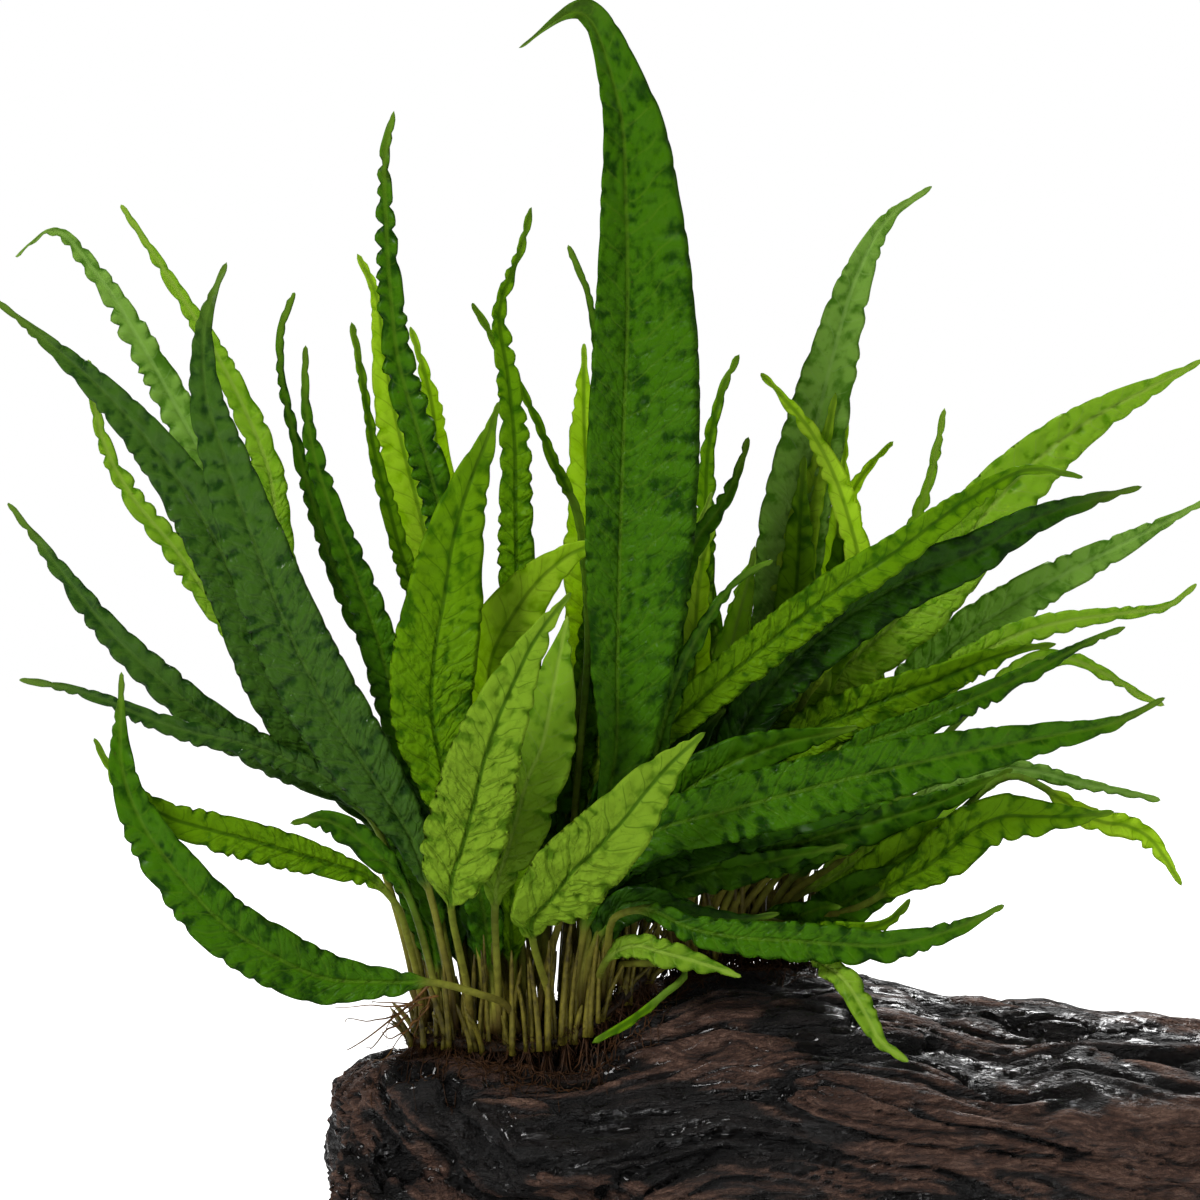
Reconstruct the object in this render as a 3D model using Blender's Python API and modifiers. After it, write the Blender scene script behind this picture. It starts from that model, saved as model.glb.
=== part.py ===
"""Java fern grown onto a piece of driftwood: the wood, the creeping rhizomes, a mat of roots and the fronds.

Everything is in metres with +Z up. The origin is on the wood's flat sawn underside. +X runs along the wood's
grain and -Y is the plant's front. Lists of places are in millimetres.
"""

import math

import bmesh
import bpy
from mathutils import Matrix, Vector, noise
from mathutils.bvhtree import BVHTree

MM = 0.001

# Driftwood.
WOOD_LEFT = -0.066
WOOD_LENGTH = 0.236
WOOD_HALF_DEPTH = 0.047
WOOD_MIDDLE_Y = -0.002
WOOD_BELOW_CUT = 0.008
WOOD_ROUNDNESS = 2.15
WOOD_ALONG = 36
WOOD_AROUND = 28
# The height of the wood's top along it: x and z.
WOOD_CREST = [(-66, 65), (-60, 69), (-50, 70), (-30, 72), (-8, 76), (12, 84), (30, 88), (58, 88), (70, 84),
              (88, 80), (112, 80), (128, 77), (150, 74), (170, 68)]
# Hollows worn round lost knots: centre, size and depth.
KNOTS = [((100, -20, 72), (15, 14, 8), 7), ((150, -44, 52), (13, 9, 9), 8), ((-8, -46, 34), (46, 12, 6), 8),
         ((-44, -44, 50), (14, 12, 6), 7), ((70, 42, 45), (20, 12, 9), 7)]

# Ridges that stand out along the front with a cleft under each: x and z of both ends, height and cleft's depth.
FRONT_RIDGES = [((-64, 70), (20, 26), 5.0, 7.0), ((40, 66), (170, 42), 4.0, 5.0)]
RIDGE_HALF_WIDTH = 0.0095
# How high the wood's swellings stand and how deep its furrows run.
SWELL_HEIGHT = 0.0060
FURROW_DEPTH = 0.0085
# The share of its half length over which each end narrows, by how much, and how ragged it is broken.
END_SHARE = 0.14
END_NARROWING = 0.14
END_RAGGEDNESS = 0.010

# Rhizomes: a creeping stem's route over the wood, x and y.
RHIZOME_RADIUS = 0.0018
RHIZOMES = {
    "rhizome_left": [(-46, -17), (-34, -20), (-18, -21), (-4, -20), (6, -17), (11, -10), (6, -3), (-6, -2),
                     (-22, -3), (-36, -2), (-46, 0)],
    "rhizome_right": [(17, 0), (27, 2), (35, 4), (44, 5), (52, 7)],
}
# Which pass of a rhizome each row of fronds stands on, and how far its feet are from the pass's top, along Y.
ROWS = {"front": ("front", 0.0), "rear": ("rear", -1.2), "back": ("rear", 1.2), "right": ("right", -1.2),
        "right_back": ("right", 1.2)}
TOUCH_GAP = 0.0004
# A frond's foot above its rhizome's middle, in radii, so that it clears the rhizome where that climbs.
FOOT_LIFT = 1.5
MAT_THICKNESS = 0.0012
MAT_REACH = 0.011
AERIAL_ROOT_RADIUS = 0.00045
# x, y and z.
AERIAL_ROOT = [(-42, -26, 90), (-47, -27, 85), (-52, -27, 81), (-57, -27, 77), (-61, -26, 74), (-64, -25, 72)]

# Fronds.
STALK_RADIUS = 0.00090
STALK_STATIONS = (0.0, 0.34, 0.67)
BLADE_STATIONS = (0.0, 0.1, 0.22, 0.34, 0.46, 0.58, 0.70, 0.82, 0.92)
# How full a blade's outline is below and beyond its widest.
FULLNESS_BELOW = 0.9
FULLNESS_BEYOND = 1.05
PATH_STEPS = 120
# A stalk's first stretch, straight up from its rhizome.
FOOT_RISE = 0.005
FROND_CLEARANCE = 0.0005
LEAN_BACK = Vector((0.0, 1.0, -0.14))
PUSH_STEP = 0.0015
PUSHES_BACK = 30
PUSHES_FORWARD = 14

COLOURS = {
    "wood": (0.045, 0.030, 0.024),
    "rhizome": (0.16, 0.13, 0.05),
    "root": (0.12, 0.065, 0.03),
    "frond": (0.11, 0.30, 0.035),
}


class Frond:
    """A frond's design. root is its x on the rhizome and row the rhizome's pass it stands on. stops are the
    places its midrib goes through on the way to its tip. width is the blade's, blade the share of the frond
    that is bare stalk, turn how far the blade is twisted at its foot and at its tip, widest where along the
    blade it is broadest, fold how deeply it is folded and left the share of it left of the midrib."""

    def __init__(self, name, row, root, stops, width, blade=0.3, turn=(0, 0), widest=0.4, fold=0.35,
                 left=0.5):
        self.name, self.row, self.root, self.stops = name, row, root, stops
        self.width, self.blade, self.turn, self.widest = width * MM, blade, turn, widest
        self.fold, self.left = fold, left


# From the front of the plant to its back.
FRONDS = [
    Frond("frond_left_1", "front", -20, [(-27, -29, 86), (-34, -33, 90), (-46, -35, 92), (-64, -36, 92),
          (-78, -40, 98),
          (-92, -43, 107), (-106, -44, 123), (-116, -43, 139), (-118, -42, 150), (-118, -38, 170)],
          15, 0.2, (8, -10), 0.35),
    Frond("frond_right_1", "front", 2, [(3, -29, 106), (11, -35, 110), (22, -38, 106), (33, -40, 104),
          (55, -42, 103), (67, -42, 102), (80, -42, 104), (94, -41, 109), (100, -40, 112)],
          9.5, 0.2, (-10, 12), 0.5),
    Frond("frond_middle_1", "front", -12, [(-17, -38, 106), (-12, -42, 114), (-6, -44, 122), (3, -46, 131),
          (11, -46, 141), (18, -46, 149), (26, -45, 156)], 20, 0.3, (18, -12), 0.3),
    Frond("frond_middle_2", "front", -32, [(-37, -36, 112), (-35, -40, 122), (-31, -42, 138),
          (-27, -44, 154),
          (-21, -46, 169), (-15, -47, 181), (-7, -47, 191)], 20, 0.3, (-14, 12), 0.22),
    Frond("frond_right_2", "front", -1, [(2, -31, 97), (8, -35, 101), (14, -37, 100), (22, -38, 98),
          (29, -39, 96), (35, -40, 94)], 6.5, 0.3, (-10, 10), 0.45),
    Frond("frond_right_3", "right", 31, [(48, -24, 98), (54, -34, 97), (60, -42, 94), (65, -47, 87),
          (69, -51, 80), (76, -53, 75)], 5.8, 0.45, (10, -20), 0.5),
    Frond("frond_left_2", "front", -44, [(-50, -26, 108), (-58, -28, 117), (-83, -33, 126),
          (-108, -36, 134),
          (-119, -36, 143), (-125, -35, 153)], 9.5, 0.28, (12, -8), 0.45),
    Frond("frond_right_4", "front", -4, [(0, -30, 104), (12, -33, 114), (22, -35, 118), (39, -36, 123),
          (55, -37, 128), (76, -38, 134), (90, -37, 139), (103, -36, 145)], 12.5, 0.12, (-12, 8), 0.45),
    Frond("frond_middle_3", "front", -25, [(-26, -29, 112), (-22, -31, 127), (-18, -33, 142),
          (-14, -34, 152),
          (-11, -34, 168), (-8, -33, 183)], 17, 0.3, (15, -10), 0.45),
    Frond("frond_right_5", "front", -7, [(-1, -26, 114), (10, -31, 127), (30, -33, 134), (51, -34, 140),
          (71, -34, 145), (90, -33, 149), (112, -31, 153), (131, -29, 157), (140, -28, 162)],
          16, 0.1, (-14, 10), 0.42),
    Frond("frond_left_3", "front", -40, [(-48, -22, 112), (-60, -24, 126), (-69, -25, 131),
          (-77, -25, 130)],
          7, 0.4, (5, -12), 0.6),
    Frond("frond_right_6", "right", 37, [(56, -18, 102), (67, -27, 104), (73, -29, 107), (77, -30, 112)],
          4.6, 0.4, (0, 15)),
    Frond("frond_right_7", "rear", 3.5, [(8, -17, 118), (14, -20, 130), (23, -23, 139), (35, -24, 146),
          (46, -24, 150), (55, -24, 152), (64, -23, 154)], 15, 0.14, (-10, 6), 0.4),
    Frond("frond_left_4", "front", -36, [(-44, -20, 118), (-50, -22, 130), (-60, -24, 147), (-73, -26, 169),
          (-83, -27, 194), (-91, -27, 217), (-97, -27, 236), (-97, -26, 257), (-92, -24, 270)],
          18.5, 0.16, (10, -12), 0.35),
    Frond("frond_middle_4", "front", -28, [(-33, -19, 118), (-38, -21, 138), (-42, -22, 160),
          (-41, -23, 172),
          (-38, -23, 190), (-35, -23, 208), (-30, -22, 220), (-25, -21, 235)], 21, 0.26, (-10, 14), 0.42),
    Frond("frond_right_8", "right", 43, [(64, -12, 106), (72, -19, 113), (82, -21, 119), (96, -21, 130),
          (108, -20, 131), (118, -20, 131), (128, -19, 132)], 13, 0.38, (-5, 14), 0.42),
    Frond("frond_middle_5", "front", -16, [(-8, -20, 110), (2, -19, 132), (4, -19, 160), (5, -20, 200),
          (6, -20, 232), (7, -20, 268), (6, -20, 290), (4, -21, 312), (0, -22, 325), (-6, -23, 332),
          (-13, -24, 331), (-20, -25, 323)], 28, 0.17, (-8, -6), 0.42, 0.7, 0.3),
    Frond("frond_right_9", "right", 46, [(76, -6, 118), (92, -12, 133), (104, -15, 140), (113, -17, 136),
          (122, -18, 130), (129, -18, 129), (136, -18, 126), (141, -18, 120), (145, -18, 113)],
          5.6, 0.62, (0, 20), 0.5),
    Frond("frond_right_10", "rear", 8, [(12, -17, 136), (17, -19, 158), (22, -20, 172), (29, -20, 184),
          (35, -19, 191), (43, -18, 195)], 4.6, 0.3, (0, 20)),
    Frond("frond_left_5", "rear", -43, [(-54, -16, 124), (-68, -18, 140), (-90, -22, 150), (-106, -24, 154),
          (-128, -25, 163), (-144, -25, 166)], 6, 0.32, (10, -10), 0.35),
    Frond("frond_right_11", "rear", -1, [(5, -14, 128), (11, -15, 147), (23, -15, 158), (40, -14, 172),
          (56, -14, 185), (77, -14, 199), (92, -14, 210), (106, -13, 217), (120, -12, 215)],
          11, 0.12, (-12, 12), 0.5),
    Frond("frond_right_12", "right", 40, [(66, -6, 122), (82, -10, 136), (102, -13, 142), (117, -14, 139),
          (131, -14, 136), (140, -14, 134)], 4.6, 0.4, (0, 15), 0.4),
    Frond("frond_right_13", "right", 34, [(52, -3, 126), (62, -7, 144), (78, -9, 152), (95, -10, 160),
          (106, -10, 165), (121, -10, 173), (131, -9, 177)], 7.4, 0.2, (-8, 14)),
    Frond("frond_left_6", "rear", -39, [(-49, -9, 124), (-66, -11, 136), (-84, -13, 146), (-98, -14, 155),
          (-120, -16, 175), (-139, -16, 199), (-147, -15, 209)], 9, 0.24, (12, -10), 0.45),
    Frond("frond_right_14", "right", 21.5, [(27, -5, 128), (37, -8, 154), (51, -9, 171), (71, -9, 186),
          (90, -9, 194), (110, -9, 205), (127, -8, 210), (135, -7, 212)], 15, 0.14, (-10, 12), 0.45),
    Frond("frond_left_7", "rear", -32, [(-42, -9, 132), (-49, -12, 152), (-57, -13, 180), (-64, -13, 199),
          (-70, -13, 217), (-73, -12, 232), (-73, -12, 248)], 10.5, 0.24, (-10, 16), 0.15),
    Frond("frond_middle_6", "rear", -28.5, [(-32, -9, 140), (-35, -10, 178), (-40, -10, 207),
          (-43, -10, 218),
          (-48, -10, 237), (-51, -10, 250), (-53, -9, 280), (-53, -9, 298), (-51, -8, 306)],
          7.6, 0.36, (14, -14), 0.4),
    Frond("frond_middle_7", "rear", -21, [(-25, -10, 130), (-28, -11, 160), (-26, -11, 172),
          (-17, -10, 187),
          (-6, -9, 196), (3, -8, 198)], 20, 0.22, (-10, 10), 0.45),
    Frond("frond_right_15", "right", 27.5, [(40, -1, 128), (48, -3, 146), (64, -4, 155), (80, -4, 161),
          (92, -4, 166), (102, -4, 170), (114, -4, 172)], 12, 0.2, (-6, 12)),
    Frond("frond_left_8", "rear", -35.5, [(-48, -5, 122), (-60, -7, 130), (-75, -9, 153), (-83, -10, 168),
          (-90, -10, 187), (-102, -11, 210), (-118, -11, 231), (-133, -10, 245), (-150, -9, 259)],
          16, 0.18, (12, -8), 0.4),
    Frond("frond_right_16", "right_back", 44, [(62, 0, 128), (78, -1, 153), (92, -2, 167), (106, -3, 175),
          (118, -3, 178), (133, -3, 180), (143, -3, 182), (149, -3, 187)], 7.6, 0.26, (-8, 16), 0.35),
    Frond("frond_right_17", "right_back", 29, [(46, 0, 146), (58, -1, 172), (65, -1, 192), (61, -2, 206),
          (56, -2, 220), (48, -2, 231), (40, -3, 240)], 6.2, 0.34, (10, -10), 0.5),
    Frond("frond_right_18", "right", 18.5, [(18, -2, 130), (17, -3, 165), (20, -3, 188), (23, -3, 196),
          (28, -3, 204), (33, -3, 211), (37, -3, 224)], 6.2, 0.26, (10, -14), 0.5),
    Frond("frond_left_9", "rear", -25, [(-37, -2, 130), (-50, -3, 158), (-63, -3, 182), (-70, -3, 202),
          (-76, -3, 224), (-80, -2, 246), (-76, -1, 260)], 4, 0.36, (10, -10), 0.3),
    Frond("frond_middle_8", "rear", -13, [(-15, -2, 132), (-20, -1, 178), (-21, 0, 204), (-21, 0, 218),
          (-23, 0, 239), (-25, 1, 256), (-23, 2, 264), (-19, 2, 272), (-17, 2, 281)],
          9, 0.28, (-12, 16), 0.2),
    Frond("frond_right_19", "right", 24.5, [(36, 2, 128), (47, 3, 153), (60, 4, 165), (71, 5, 173),
          (86, 6, 189), (97, 6, 204), (115, 7, 222), (132, 8, 232), (151, 9, 242)], 18, 0.14, (-8, 10),
          0.5),
    Frond("frond_left_10", "rear", -17, [(-30, 2, 136), (-42, 4, 172), (-48, 4, 188), (-53, 4, 206),
          (-57, 4, 222), (-59, 4, 236), (-62, 4, 252)], 4.6, 0.36, (0, 18), 0.35),
    Frond("frond_right_20", "right_back", 26, [(38, 7, 132), (46, 8, 166), (49, 8, 182), (50, 8, 200),
          (51, 8, 218)], 11, 0.24, (14, -8), 0.45),
    Frond("frond_left_11", "back", -45, [(-62, 4, 136), (-80, 8, 160), (-98, 9, 182), (-108, 10, 196),
          (-117, 10, 207), (-125, 10, 223), (-128, 9, 242)], 6.4, 0.34, (-8, 14), 0.4),
    Frond("frond_middle_9", "back", -10, [(-6, 4, 132), (-3, 8, 172), (-5, 10, 200), (-10, 11, 212),
          (-17, 11, 229), (-25, 11, 244), (-32, 11, 256)], 3, 0.4, (0, 10), 0.3),
    Frond("frond_right_21", "right_back", 32, [(43, 10, 132), (45, 11, 165), (48, 12, 194), (51, 12, 214),
          (55, 13, 228), (60, 13, 249), (65, 14, 264), (73, 14, 278), (83, 14, 285)],
          17, 0.18, (-12, 10), 0.42),
    Frond("frond_middle_10", "back", -6, [(-8, 8, 136), (-1, 14, 178), (1, 16, 214), (0, 16, 238),
          (-2, 16, 253), (-5, 17, 263), (-8, 17, 270)], 4.6, 0.4, (12, -14), 0.4),
    Frond("frond_right_22", "right_back", 50, [(76, 10, 134), (94, 11, 154), (108, 12, 165), (118, 12, 166),
          (129, 12, 161), (137, 12, 156), (142, 12, 154)], 4.4, 0.5, (0, 16), 0.4),
    Frond("frond_left_12", "back", -41, [(-62, 8, 142), (-75, 14, 174), (-81, 16, 196), (-84, 17, 216),
          (-95, 18, 240), (-105, 18, 257), (-120, 18, 280)], 7, 0.36, (10, -12), 0.4),
    Frond("frond_right_23", "right_back", 41, [(62, 12, 136), (80, 16, 160), (92, 18, 171), (104, 19, 179),
          (120, 20, 188), (136, 21, 196), (153, 22, 205)], 11.5, 0.24, (-14, 10), 0.4),
    Frond("frond_right_24", "right_back", 20, [(24, 8, 132), (26, 14, 180), (27, 18, 216), (29, 19, 227),
          (31, 20, 234), (35, 20, 242)], 5, 0.4, (10, -12), 0.4),
    Frond("frond_left_13", "back", -37, [(-62, 14, 148), (-84, 21, 184), (-99, 24, 214), (-111, 25, 236),
          (-121, 26, 254), (-132, 26, 268), (-142, 26, 274), (-147, 26, 266)], 9.5, 0.3, (12, -16), 0.4),
    Frond("frond_middle_11", "back", -31, [(-36, 10, 144), (-42, 20, 186), (-47, 23, 208), (-51, 24, 223),
          (-54, 24, 241), (-56, 24, 256), (-61, 24, 267)], 13, 0.36, (-12, 12), 0.4),
    Frond("frond_middle_12", "back", 1.5, [(0, 10, 136), (-2, 20, 174), (-3, 25, 204), (-4, 27, 224),
          (-4, 27, 244)], 13, 0.26, (14, -10), 0.45),
    Frond("frond_right_25", "right_back", 38, [(56, 14, 150), (64, 22, 182), (63, 25, 198), (64, 26, 209),
          (69, 27, 214), (74, 28, 219)], 8.4, 0.26, (-10, 14), 0.45),
    Frond("frond_right_26", "right_back", 47, [(56, 12, 120), (68, 18, 154), (76, 26, 188), (83, 30, 208),
          (87, 32, 227)], 4.6, 0.3, (4, 10), 0.45),
    Frond("frond_right_27", "right_back", 23, [(25, 16, 142), (25, 26, 172), (25, 30, 196), (28, 32, 208)],
          11, 0.24, (16, -8), 0.45),
    Frond("frond_right_28", "right_back", 35, [(44, 18, 142), (46, 29, 176), (47, 33, 198), (51, 35, 219)],
          11.5, 0.24, (14, -12), 0.45),
    Frond("frond_middle_13", "back", -27, [(-32, 16, 146), (-38, 30, 188), (-41, 35, 212), (-43, 37, 230),
          (-48, 38, 247)], 8.6, 0.36, (-14, 10), 0.45),
]
# A stalk that has lost its blade, hanging forwards over the wood.
BARE_STALK = Frond("bare_stalk", "front", 5, [(22, -32, 95), (15, -35, 88), (7, -37, 82), (-2, -38, 77)], 1.8)


def material(name, roughness):
    made = bpy.data.materials.new(name)
    made.use_nodes = True
    shader = made.node_tree.nodes["Principled BSDF"]
    shader.inputs["Base Color"].default_value = (*COLOURS[name], 1.0)
    shader.inputs["Roughness"].default_value = roughness
    shader.inputs["Metallic"].default_value = 0.0
    return made


def smooth_path(points, count):
    """count points evenly spaced along a smooth curve through the given ones."""
    ends = [points[0] * 2 - points[1]] + points + [points[-1] * 2 - points[-2]]
    fine = []
    for a, b, c, d in zip(ends, ends[1:], ends[2:], ends[3:]):
        for step in range(12):
            t = step / 12
            fine.append(0.5 * (2 * b + (c - a) * t + (2 * a - 5 * b + 4 * c - d) * t * t
                               + (3 * b - a - 3 * c + d) * t ** 3))
    fine.append(points[-1])
    travelled = [0.0]
    for a, b in zip(fine, fine[1:]):
        travelled.append(travelled[-1] + (b - a).length)
    made, piece = [], 0
    for step in range(count):
        wanted = travelled[-1] * step / (count - 1)
        while piece < len(fine) - 2 and travelled[piece + 1] < wanted:
            piece += 1
        share = (wanted - travelled[piece]) / max(travelled[piece + 1] - travelled[piece], 1e-9)
        made.append(fine[piece].lerp(fine[piece + 1], min(1.0, max(0.0, share))))
    return made


def new_object(name, mesh, collection, finish):
    obj = bpy.data.objects.new(name, mesh)
    collection.objects.link(obj)
    obj.data.materials.append(finish)
    return obj


def evaluated_copy(obj):
    graph = bpy.context.evaluated_depsgraph_get()
    return bpy.data.meshes.new_from_object(obj.evaluated_get(graph))


def tree_of(mesh):
    return BVHTree.FromPolygons([v.co for v in mesh.vertices], [tuple(p.vertices) for p in mesh.polygons])


# ---------------------------------------------------------------- driftwood

def crest_height(x):
    """How high the wood's top is at x, before its ridges."""
    tops = [(a * MM, b * MM) for a, b in WOOD_CREST]
    if x <= tops[0][0]:
        return tops[0][1]
    for (ax, az), (bx, bz) in zip(tops, tops[1:]):
        if x <= bx:
            t = (x - ax) / (bx - ax)
            return az + (bz - az) * t * t * (3 - 2 * t)
    return tops[-1][1]


def wood_bumps(x, turn):
    """Swellings and long furrows of the weathered surface, as a distance outwards."""
    ring = Vector((math.cos(turn), math.sin(turn), 0.0))
    swell = noise.noise(Vector((x * 16, 0, 3.1)) + ring * 0.9)
    lean = turn + x * 2.6 + 0.5 * noise.noise(Vector((x * 9, 4.0, 0.0)) + ring)
    furrow = 0.35 - abs(noise.noise(Vector((x * 9, 2.6 * math.cos(lean), 2.6 * math.sin(lean)))))
    return SWELL_HEIGHT * swell + FURROW_DEPTH * furrow * (1 - 0.6 * max(0.0, math.sin(turn)) ** 2)


def front_ridge(place):
    """How far the ridges along the front, and the clefts under them, stand out."""
    total = 0.0
    on_front = min(1.0, max(0.0, (-0.008 - place.y) / 0.02))
    for (ax, az), (bx, bz), height, cleft in FRONT_RIDGES:
        start, run = Vector((ax, az)) * MM, Vector((bx - ax, bz - az)) * MM
        here = Vector((place.x, place.z)) - start
        reached = here.dot(run) / run.length_squared
        fade = min(1.0, max(0.0, 6 * min(reached + 0.05, 1.05 - reached)))
        above = (run.x * here.y - run.y * here.x) / run.length / RIDGE_HALF_WIDTH
        total += fade * (height * math.exp(-(above - 0.5) ** 2) - cleft * math.exp(-(above + 1.3) ** 2))
    return total * on_front * MM


def knot_hollow(place, centre, size, depth):
    """How far a hollow worn round a lost knot draws a point in."""
    away = Vector([(a - b * MM) / (s * MM) for a, b, s in zip(place, centre, size)]).length
    return depth * MM * math.exp(-away * away)


def build_driftwood(collection, cutters, finish):
    """A weathered log: a capped cylinder along X, shaped ring by ring, sawn flat underneath."""
    shape = bmesh.new()
    bmesh.ops.create_cone(shape, cap_ends=True, segments=WOOD_AROUND, radius1=1, radius2=1, depth=2)
    rails = [e for e in shape.edges if abs(e.verts[0].co.z - e.verts[1].co.z) > 1]
    bmesh.ops.subdivide_edges(shape, edges=rails, cuts=WOOD_ALONG, use_grid_fill=True)
    for cap in [f for f in shape.faces if len(f.verts) > 4]:
        bmesh.ops.inset_individual(shape, faces=[cap], thickness=0.4)
        bmesh.ops.poke(shape, faces=[cap])
    for vertex in shape.verts:
        along = vertex.co.z
        radius = min(1.0, math.hypot(vertex.co.x, vertex.co.y))
        turn = math.atan2(vertex.co.y, vertex.co.x)
        x = WOOD_LEFT + (along + 1) / 2 * WOOD_LENGTH
        near_end = max(0.0, abs(along) - (1 - END_SHARE)) / END_SHARE
        shrink = (1 - END_NARROWING * near_end ** 2) * radius
        top = crest_height(x)
        tall = (top + WOOD_BELOW_CUT) / 2
        deep = WOOD_HALF_DEPTH * (0.95 + 0.07 * math.sin(2.5 * along + 0.6))
        power = 2 / WOOD_ROUNDNESS
        wide = math.copysign(abs(math.cos(turn)) ** power, math.cos(turn))
        high = math.copysign(abs(math.sin(turn)) ** power, math.sin(turn))
        out = Vector((0.0, math.cos(turn), math.sin(turn)))
        place = Vector((x, WOOD_MIDDLE_Y + deep * wide * shrink,
                        (top - WOOD_BELOW_CUT) / 2 + tall * high * shrink))
        place += out * wood_bumps(x, turn) * radius
        for centre, size, depth in KNOTS:
            place -= out * knot_hollow(place, centre, size, depth) * radius
        place += out * front_ridge(place) * radius
        ragged = noise.noise(Vector((place.y * 60, place.z * 60, along * 7)))
        place.x += END_RAGGEDNESS * near_end * ragged * math.copysign(1, along)
        vertex.co = place
    bmesh.ops.recalc_face_normals(shape, faces=shape.faces)
    mesh = bpy.data.meshes.new("driftwood")
    shape.to_mesh(mesh)
    shape.free()
    wood = new_object("driftwood", mesh, collection, finish)

    bpy.ops.mesh.primitive_cube_add(size=1, location=(0.05, 0, -0.05))
    saw = bpy.context.object
    saw.name = "saw_cut"
    saw.scale = (0.5, 0.3, 0.1)
    bpy.ops.object.transform_apply(location=False, rotation=False, scale=True)
    for holder in list(saw.users_collection):
        holder.objects.unlink(saw)
    cutters.objects.link(saw)
    saw.hide_render = True
    saw.display_type = "WIRE"
    cut = wood.modifiers.new("flat_underside", "BOOLEAN")
    cut.operation = "DIFFERENCE"
    cut.object = saw
    bpy.context.view_layer.update()
    return wood


# ---------------------------------------------------------------- rhizomes and roots

def wood_top(wood_tree, x, y):
    """The wood's height at x and y, or nothing where there is none."""
    hit = wood_tree.ray_cast(Vector((x, y, 0.4)), Vector((0, 0, -1)))[0]
    return hit.z if hit else 0.0


def rhizome_centres(wood_tree, route):
    """The rhizome's centre line, laid on the wood clear of the root mat."""
    made = smooth_path([Vector((x, y, 0)) * MM for x, y in route], 5 * len(route) // 2)
    lift = RHIZOME_RADIUS + MAT_THICKNESS + 2 * TOUCH_GAP
    for point in made:
        around = [wood_top(wood_tree, point.x + dx, point.y + dy)
                  for dx in (-0.002, 0, 0.002) for dy in (-0.0015, 0, 0.0015)]
        point.z = max(around) + lift
    return made


def build_rod(name, centres, radius, swell, collection, finish):
    """A closed round rod along the centres, one mesh, with narrowed ends."""
    data = bpy.data.curves.new(name, "CURVE")
    data.dimensions = "3D"
    data.bevel_depth = radius
    data.bevel_resolution = 1
    data.use_fill_caps = True
    line = data.splines.new("POLY")
    line.points.add(len(centres) - 1)
    for i, (point, centre) in enumerate(zip(line.points, centres)):
        point.co = (*centre, 1.0)
        ends = min(i, len(centres) - 1 - i)
        point.radius = (0.55, 0.85)[ends] if ends < 2 else 1.0 + swell * math.sin(i * 2.3)
    rod = bpy.data.objects.new(name, data)
    collection.objects.link(rod)
    bpy.context.view_layer.update()
    mesh = evaluated_copy(rod)
    bpy.data.objects.remove(rod)
    welded = bmesh.new()
    welded.from_mesh(mesh)
    bmesh.ops.remove_doubles(welded, verts=welded.verts, dist=1e-5)
    welded.to_mesh(mesh)
    welded.free()
    mesh.shade_smooth()
    return new_object(name, mesh, collection, finish)


def face_islands(shape):
    """The shape's faces in groups that share edges."""
    left, groups = set(shape.faces), []
    for start in shape.faces:
        if start not in left:
            continue
        left.remove(start)
        group, reached = [], [start]
        while reached:
            face = reached.pop()
            group.append(face)
            near = [other for side in face.edges for other in side.link_faces if other in left]
            left.difference_update(near)
            reached.extend(dict.fromkeys(near))
        groups.append(group)
    return groups


def build_root_mat(wood_mesh, marks, collection, finish):
    """The mat of clinging roots: the wood's skin near the rhizomes, lifted and thickened."""
    skin = bmesh.new()
    skin.from_mesh(wood_mesh)
    skin.normal_update()
    for vertex in skin.verts:
        vertex.co = vertex.co + vertex.normal * TOUCH_GAP

    def far(face):
        middle = face.calc_center_median()
        near = min(math.hypot(middle.x - mark.x, middle.y - mark.y) for mark in marks)
        return face.normal.z < 0.35 or near > MAT_REACH

    bmesh.ops.delete(skin, geom=[f for f in skin.faces if far(f)], context="FACES")
    islands = sorted(face_islands(skin), key=len)
    bmesh.ops.delete(skin, geom=[f for island in islands[:-1] for f in island], context="FACES")
    corners = [v for v in skin.verts if len([e for e in v.link_edges if e.is_boundary]) > 2]
    bmesh.ops.delete(skin, geom=corners, context="VERTS")
    mesh = bpy.data.meshes.new("root_mat")
    skin.to_mesh(mesh)
    skin.free()
    mat = new_object("root_mat", mesh, collection, finish)
    thick = mat.modifiers.new("thickness", "SOLIDIFY")
    thick.thickness = MAT_THICKNESS - TOUCH_GAP
    thick.offset = 1.0
    return mat


# ---------------------------------------------------------------- fronds

def blade_share(u, widest):
    """Half the blade's width at u along it, as a share of its most."""
    if u < widest:
        return math.sin(math.pi / 2 * u / widest) ** FULLNESS_BELOW
    return math.sin(math.pi / 2 * (1 - u) / (1 - widest)) ** FULLNESS_BEYOND


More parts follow.
